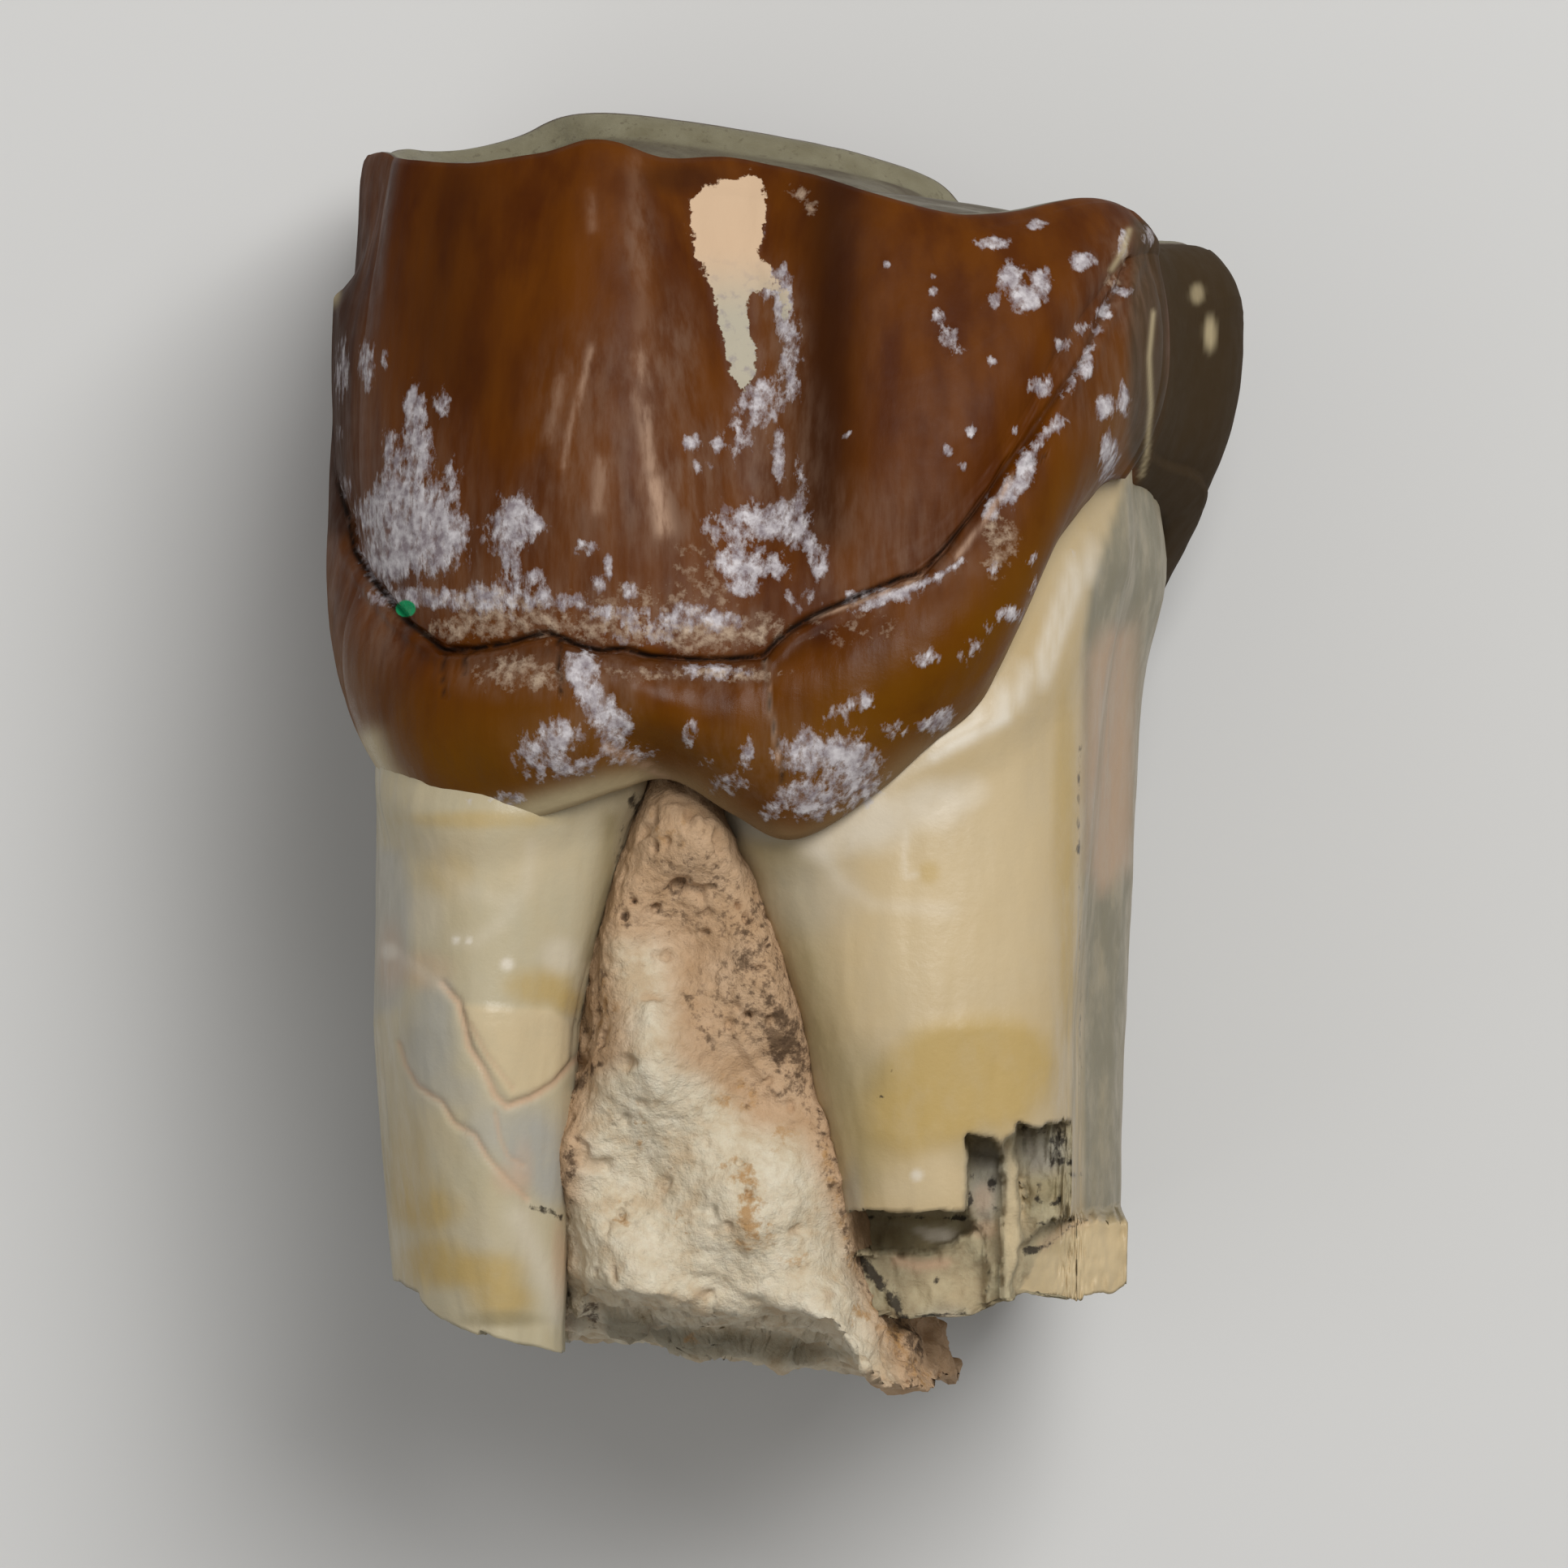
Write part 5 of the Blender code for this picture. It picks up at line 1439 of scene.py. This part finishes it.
@dataclass(frozen=True)
class WornFinish:
    """The worn chewing surface: a pale enamel edge round grey-green dentine."""

    effects: Effects
    edge: Colour = (0.22, 0.20, 0.13)
    dentine: Colour = (0.15, 0.13, 0.075)
    stain: Colour = (0.050, 0.030, 0.014)
    enamel: Colour = (0.06, 0.028, 0.008)
    silt: Colour = (0.34, 0.24, 0.15)
    enamel_width: float = 0.14
    edge_width: float = 0.85
    pit_line: float = 0.40

    def make(self) -> bpy.types.Material:
        """Makes the worn surface's material."""
        material, w, shader = new_finish("worn_surface")
        place = w.position()
        clouds = self.effects.place(w, Effect.CLOUDY_TONE, {"Position": place, "Scale": 0.9, "Contrast": 2.6})
        away, pit = w.mark("worn"), w.mark("pit")
        colour = w.blend(clouds, self.dentine, self.edge)
        inner = w.ramp(away, self.edge_width, self.edge_width + 0.3)
        colour = w.blend(w.sum("MULTIPLY", inner, w.ramp(clouds, 0.0, 1.0, 0.35, 0.8)), colour, self.stain)
        for middle, width, tint in ((self.pit_line, 0.26, self.edge), (self.pit_line + 0.30, 0.10, self.enamel)):
            off = w.sum("ABSOLUTE", w.sum("SUBTRACT", pit, middle))
            colour = w.blend(w.ramp(off, width, width * 0.5), colour, tint)
        colour = w.blend(w.ramp(pit, 0.85, 1.3, 0.0, 0.75), colour, self.silt)
        colour = w.blend(w.ramp(away, self.enamel_width, 0.0), colour, self.enamel)
        speck = self.effects.place(w, Effect.SPECKLED_COVER, {
            "Position": place, "Density": 0.22, "Scale": 4.0, "Softness": 0.5,
        })
        colour = w.blend(speck, colour, self.stain)
        w.feed(shader.inputs["Base Color"], colour)
        w.feed(shader.inputs["Roughness"], w.ramp(clouds, 0.0, 1.0, 0.38, 0.6))
        grain = self.effects.place(w, Effect.FINE_GRAIN, {"Position": place, "Scale": 5.0, "Depth": 1.2})
        bump = w.node("ShaderNodeBump", {"Height": grain, "Strength": 0.4, "Distance": 0.00008})
        w.feed(shader.inputs["Normal"], bump.outputs[0])
        shader.inputs["Specular IOR Level"].default_value = 0.25
        return material


@dataclass(frozen=True)
class RootFinish:
    """Waxy, clouded root dentine, from cream to amber and blue-grey, with cracks and chalky breaks, painted shade
    beside the rock and in recesses, and painted glints.
    """

    effects: Effects
    cool_cream: Colour = (0.42, 0.37, 0.25)
    warm_cream: Colour = (0.47, 0.355, 0.195)
    light: Colour = (0.48, 0.40, 0.27)
    cream: Colour = (0.54, 0.425, 0.255)
    amber: Colour = (0.42, 0.285, 0.085)
    # olive is mostly the colour of painted shade
    olive_shade: Colour = (0.24, 0.19, 0.09)
    # blue-grey tone, also used for painted shade on the left root's edge
    grey_and_edge_shade: Colour = (0.325, 0.32, 0.295)
    # colour of the painted shade on the recessed back root
    back_root_shade: Colour = (0.155, 0.15, 0.11)
    side_grey: Colour = (0.13, 0.12, 0.075)
    white: Colour = (0.66, 0.60, 0.50)
    pink: Colour = (0.50, 0.33, 0.21)
    # near-black of the root's specks and cracks, also used for painted shade in its gaps
    near_black: Colour = (0.022, 0.016, 0.012)
    break_cream: Colour = (0.38, 0.34, 0.22)
    break_brown: Colour = (0.22, 0.17, 0.10)
    film: Colour = (0.50, 0.47, 0.46)
    roughness: float = 0.36

    def make(self) -> bpy.types.Material:
        """Makes the roots' material."""
        material, w, shader = new_finish("root_dentine")
        place = w.position()
        effects = self.effects
        slow = effects.place(w, Effect.CLOUDY_TONE, {"Position": place, "Scale": 0.35, "Contrast": 2.6})
        quick = effects.place(w, Effect.CLOUDY_TONE, {
            "Position": w.stretched(place, (1.0, 0.6, 1.0)), "Scale": 1.4, "Contrast": 2.4,
        })
        colour = w.blend(w.mark("warm"), self.cool_cream, self.warm_cream)
        colour = w.blend(w.sum("MULTIPLY", slow, 0.55), colour, self.light)
        colour = w.blend(w.sum("MULTIPLY", quick, 0.16), colour, self.amber)
        colour = w.blend(w.sum("MULTIPLY", w.mark("side"), 0.75), colour, self.side_grey)
        chalk = effects.place(w, Effect.CLOUDY_TONE, {"Position": place, "Scale": 2.0, "Contrast": 3.0})
        break_colour = w.blend(chalk, self.break_brown, self.break_cream)
        colour = w.blend(w.sum("MULTIPLY", w.mark("broken"), 0.85), colour, break_colour)
        colour = w.blend(w.ramp(w.mark("core"), 0.40, 0.62, 0.0, 0.9), colour, w.blend(chalk, self.break_brown, self.pink))
        # Washes; the olive and strip ones and part of the blue-grey one are painted shade, and part of the pale one
        # painted glints
        for name, tint, amount in (
            ("cream", self.cream, 0.85), ("amber", self.amber, 0.85), ("olive_shade", self.olive_shade, 0.70),
            ("grey_and_edge_shade", self.grey_and_edge_shade, 0.85), ("back_root_shade", self.back_root_shade, 0.9), ("pink", self.pink, 0.85), ("pale", self.white, 0.85),
        ):
            share = w.sum("MULTIPLY", w.mark(name), w.ramp(quick, 0.0, 0.7, amount * 0.7, amount))
            colour = w.blend(share, colour, tint)
        film = effects.place(w, Effect.SPECKLED_COVER, {
            "Position": place, "Density": w.sum("MULTIPLY", w.mark("deposit"), 0.8), "Scale": 3.4, "Softness": 0.4,
        })
        colour = w.blend(w.sum("MULTIPLY", film, 0.8), colour, self.film)
        # near-black specks and cracks, and painted shade in the gaps
        near_black = effects.place(w, Effect.SPECKLED_COVER, {
            "Position": place, "Density": w.sum("MULTIPLY", w.mark("dark"), 1.15), "Scale": 3.0, "Softness": 0.45,
        })
        colour = w.blend(w.sum("MULTIPLY", near_black, 0.9), colour, self.near_black)
        w.feed(shader.inputs["Base Color"], colour)
        dull = w.sum("MULTIPLY", w.mark("broken"), 0.75)
        gloss = w.ramp(quick, 0.0, 1.0, self.roughness - 0.08, self.roughness + 0.12)
        w.feed(shader.inputs["Roughness"], w.sum("MAXIMUM", w.sum("MAXIMUM", dull, gloss), w.sum("MULTIPLY", film, 0.7)))
        grain = effects.place(w, Effect.FINE_GRAIN, {"Position": place, "Scale": 5.0, "Depth": 0.4})
        rugged = effects.place(w, Effect.FINE_GRAIN, {"Position": place, "Scale": 4.0, "Depth": 2.5})
        height = w.sum("ADD", grain, w.sum("MULTIPLY", rugged, w.mark("broken")))
        bump = w.node("ShaderNodeBump", {"Height": height, "Strength": 0.4, "Distance": 0.00008})
        w.feed(shader.inputs["Normal"], bump.outputs[0])
        shader.inputs["IOR"].default_value = 1.48
        shader.inputs["Specular IOR Level"].default_value = 0.25
        return material


@dataclass(frozen=True)
class RockFinish:
    """Dull siltstone, from tan to chalk white, with brown specks and stains, and painted shade in its crevices and
    under its front layer.
    """

    effects: Effects
    tan: Colour = (0.44, 0.28, 0.155)
    pale_tan: Colour = (0.54, 0.37, 0.23)
    chalk: Colour = (0.56, 0.47, 0.32)
    bright: Colour = (0.68, 0.61, 0.47)
    brown: Colour = (0.075, 0.042, 0.022)
    orange: Colour = (0.40, 0.22, 0.08)
    shade: Colour = (0.16, 0.145, 0.10)

    def make(self) -> bpy.types.Material:
        """Makes the rock's material."""
        material, w, shader = new_finish("siltstone")
        place = w.position()
        effects = self.effects
        coarse = effects.place(w, Effect.CLOUDY_TONE, {"Position": place, "Scale": 1.3, "Contrast": 3.0})
        fine = effects.place(w, Effect.CLOUDY_TONE, {"Position": place, "Scale": 6.0, "Contrast": 4.0})
        base = w.blend(coarse, self.tan, self.pale_tan)
        chalk = w.blend(coarse, self.chalk, self.bright)
        share = w.sum("MULTIPLY", w.mark("chalk"), w.ramp(coarse, 0.0, 0.5, 0.7, 1.0))
        colour = w.blend(share, base, chalk)
        colour = w.blend(w.sum("MULTIPLY", fine, 0.20), colour, self.tan)
        colour = w.blend(w.sum("MULTIPLY", w.mark("shade"), 0.8), colour, self.shade)
        # the stain patches also carry painted shade in the crevices
        for name, tint, amount, scale in (
            ("orange", self.orange, 0.85, 2.8), ("speck", self.brown, 0.56, 5.5), ("stain", self.brown, 0.95, 3.6),
        ):
            patch = effects.place(w, Effect.SPECKLED_COVER, {
                "Position": place, "Density": w.sum("MULTIPLY", w.mark(name), amount), "Scale": scale, "Softness": 0.48,
            })
            colour = w.blend(w.sum("MULTIPLY", patch, 0.85), colour, tint)
        colour = w.blend(w.sum("MULTIPLY", w.mark("pit"), 0.35), colour, self.tan)
        w.feed(shader.inputs["Base Color"], colour)
        w.feed(shader.inputs["Roughness"], w.ramp(fine, 0.0, 1.0, 0.8, 0.97))
        grain = effects.place(w, Effect.FINE_GRAIN, {"Position": place, "Scale": 5.0, "Depth": 2.2})
        bump = w.node("ShaderNodeBump", {"Height": grain, "Strength": 0.6, "Distance": 0.00010})
        w.feed(shader.inputs["Normal"], bump.outputs[0])
        shader.inputs["Specular IOR Level"].default_value = 0.25
        return material


@dataclass
class Studio:
    """Plain pale floor, soft lights and the camera above the tooth."""

    floor_size: float = 1.2
    floor_colour: Colour = (0.60, 0.595, 0.58)
    key_place: tuple[float, float, float] = (0.075, 0.105, 0.25)
    key_size: float = 0.13
    key_power: float = 0.64
    fill_place: tuple[float, float, float] = (-0.15, -0.05, 0.20)
    fill_size: float = 0.16
    fill_power: float = 0.07
    sky: float = 0.30

    def floor(self) -> bpy.types.Object:
        """Makes the floor that the tooth lies on."""
        bpy.ops.mesh.primitive_plane_add(size=self.floor_size, location=(0, 0, 0))
        floor = bpy.context.object
        floor.name = "floor"
        material, w, shader = new_finish("pale_floor")
        shader.inputs["Base Color"].default_value = (*self.floor_colour, 1.0)
        shader.inputs["Roughness"].default_value = 0.9
        floor.data.materials.append(material)
        return floor

    def light(self, name: str, place: tuple[float, float, float], size: float, power: float) -> None:
        """Hangs a soft square light that looks at the tooth."""
        data = bpy.data.lights.new(name, "AREA")
        data.size = size
        data.energy = power
        made = bpy.data.objects.new(name, data)
        made.location = place
        made.rotation_euler = (Vector((0, 0, 0.012)) - Vector(place)).to_track_quat("-Z", "Y").to_euler()
        bpy.context.scene.collection.objects.link(made)

    def camera(self) -> None:
        """Sets the camera where the photograph was taken from."""
        data = bpy.data.cameras.new("camera")
        data.lens = VIEW.lens
        data.sensor_width = VIEW.sensor
        data.clip_start = 0.01
        made = bpy.data.objects.new("camera", data)
        made.location = (
            (VIEW.centre[0] - CENTRE[0]) * MM, (VIEW.centre[1] - CENTRE[1]) * MM, (VIEW.level + VIEW.distance) * MM,
        )
        bpy.context.scene.collection.objects.link(made)
        bpy.context.scene.camera = made

    def build(self) -> None:
        """Sets up the floor, the lights, the sky and the camera."""
        self.floor()
        self.light("key_light", self.key_place, self.key_size, self.key_power)
        self.light("fill_light", self.fill_place, self.fill_size, self.fill_power)
        world = bpy.data.worlds.new("soft_sky")
        world.use_nodes = True
        sky = world.node_tree.nodes["Background"]
        sky.inputs["Color"].default_value = (1.0, 1.0, 1.0, 1.0)
        sky.inputs["Strength"].default_value = self.sky
        bpy.context.scene.world = world
        bpy.context.scene.view_settings.view_transform = "Standard"
        self.camera()


def dress(piece: bpy.types.Object, node: str, slot: str, *finishes: bpy.types.Material) -> None:
    """Finishes a piece and puts it in the place of its solid.

    Args:
        piece: The piece.
        node: The solid that it stands for.
        slot: The record's material slot of that solid. It is not used.
        *finishes: Its materials, one for each material number of its mesh.
    """
    piece.data.materials.clear()
    for finish in finishes:
        piece.data.materials.append(finish)
    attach(piece, "root")
    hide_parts(node)
    LOG.info("%s: %d faces, stands for %s", piece.name, len(piece.data.polygons), node)


def main() -> None:
    """Builds the tooth, the rock and the studio."""
    logging.basicConfig(level=logging.INFO, format="%(message)s")
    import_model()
    effects = Effects()
    enamel = EnamelFinish(effects).make()
    corner = EnamelFinish(effects, name="corner_enamel", roughness=0.42, shine=0.05).make()
    worn = WornFinish(effects).make()
    dentine = RootFinish(effects).make()
    siltstone = RockFinish(effects).make()
    crown = Crown().build()
    slots = np.zeros(len(crown.data.polygons), np.int32)
    crown.data.polygons.foreach_get("material_index", slots)
    dress(crown, "tooth", "fossil_tooth", enamel, worn, corner)
    crown.data.polygons.foreach_set("material_index", slots)
    dress(Root(LEFT_ROOT).build(), "tooth", "fossil_tooth", dentine)
    dress(Root(RIGHT_ROOT, RIGHT_BREAKS).build(), "tooth", "fossil_tooth", dentine)
    dress(RockWedge().build(), "rock_wedge", "siltstone", siltstone)
    Studio().build()


if __name__ == "__main__":
    main()
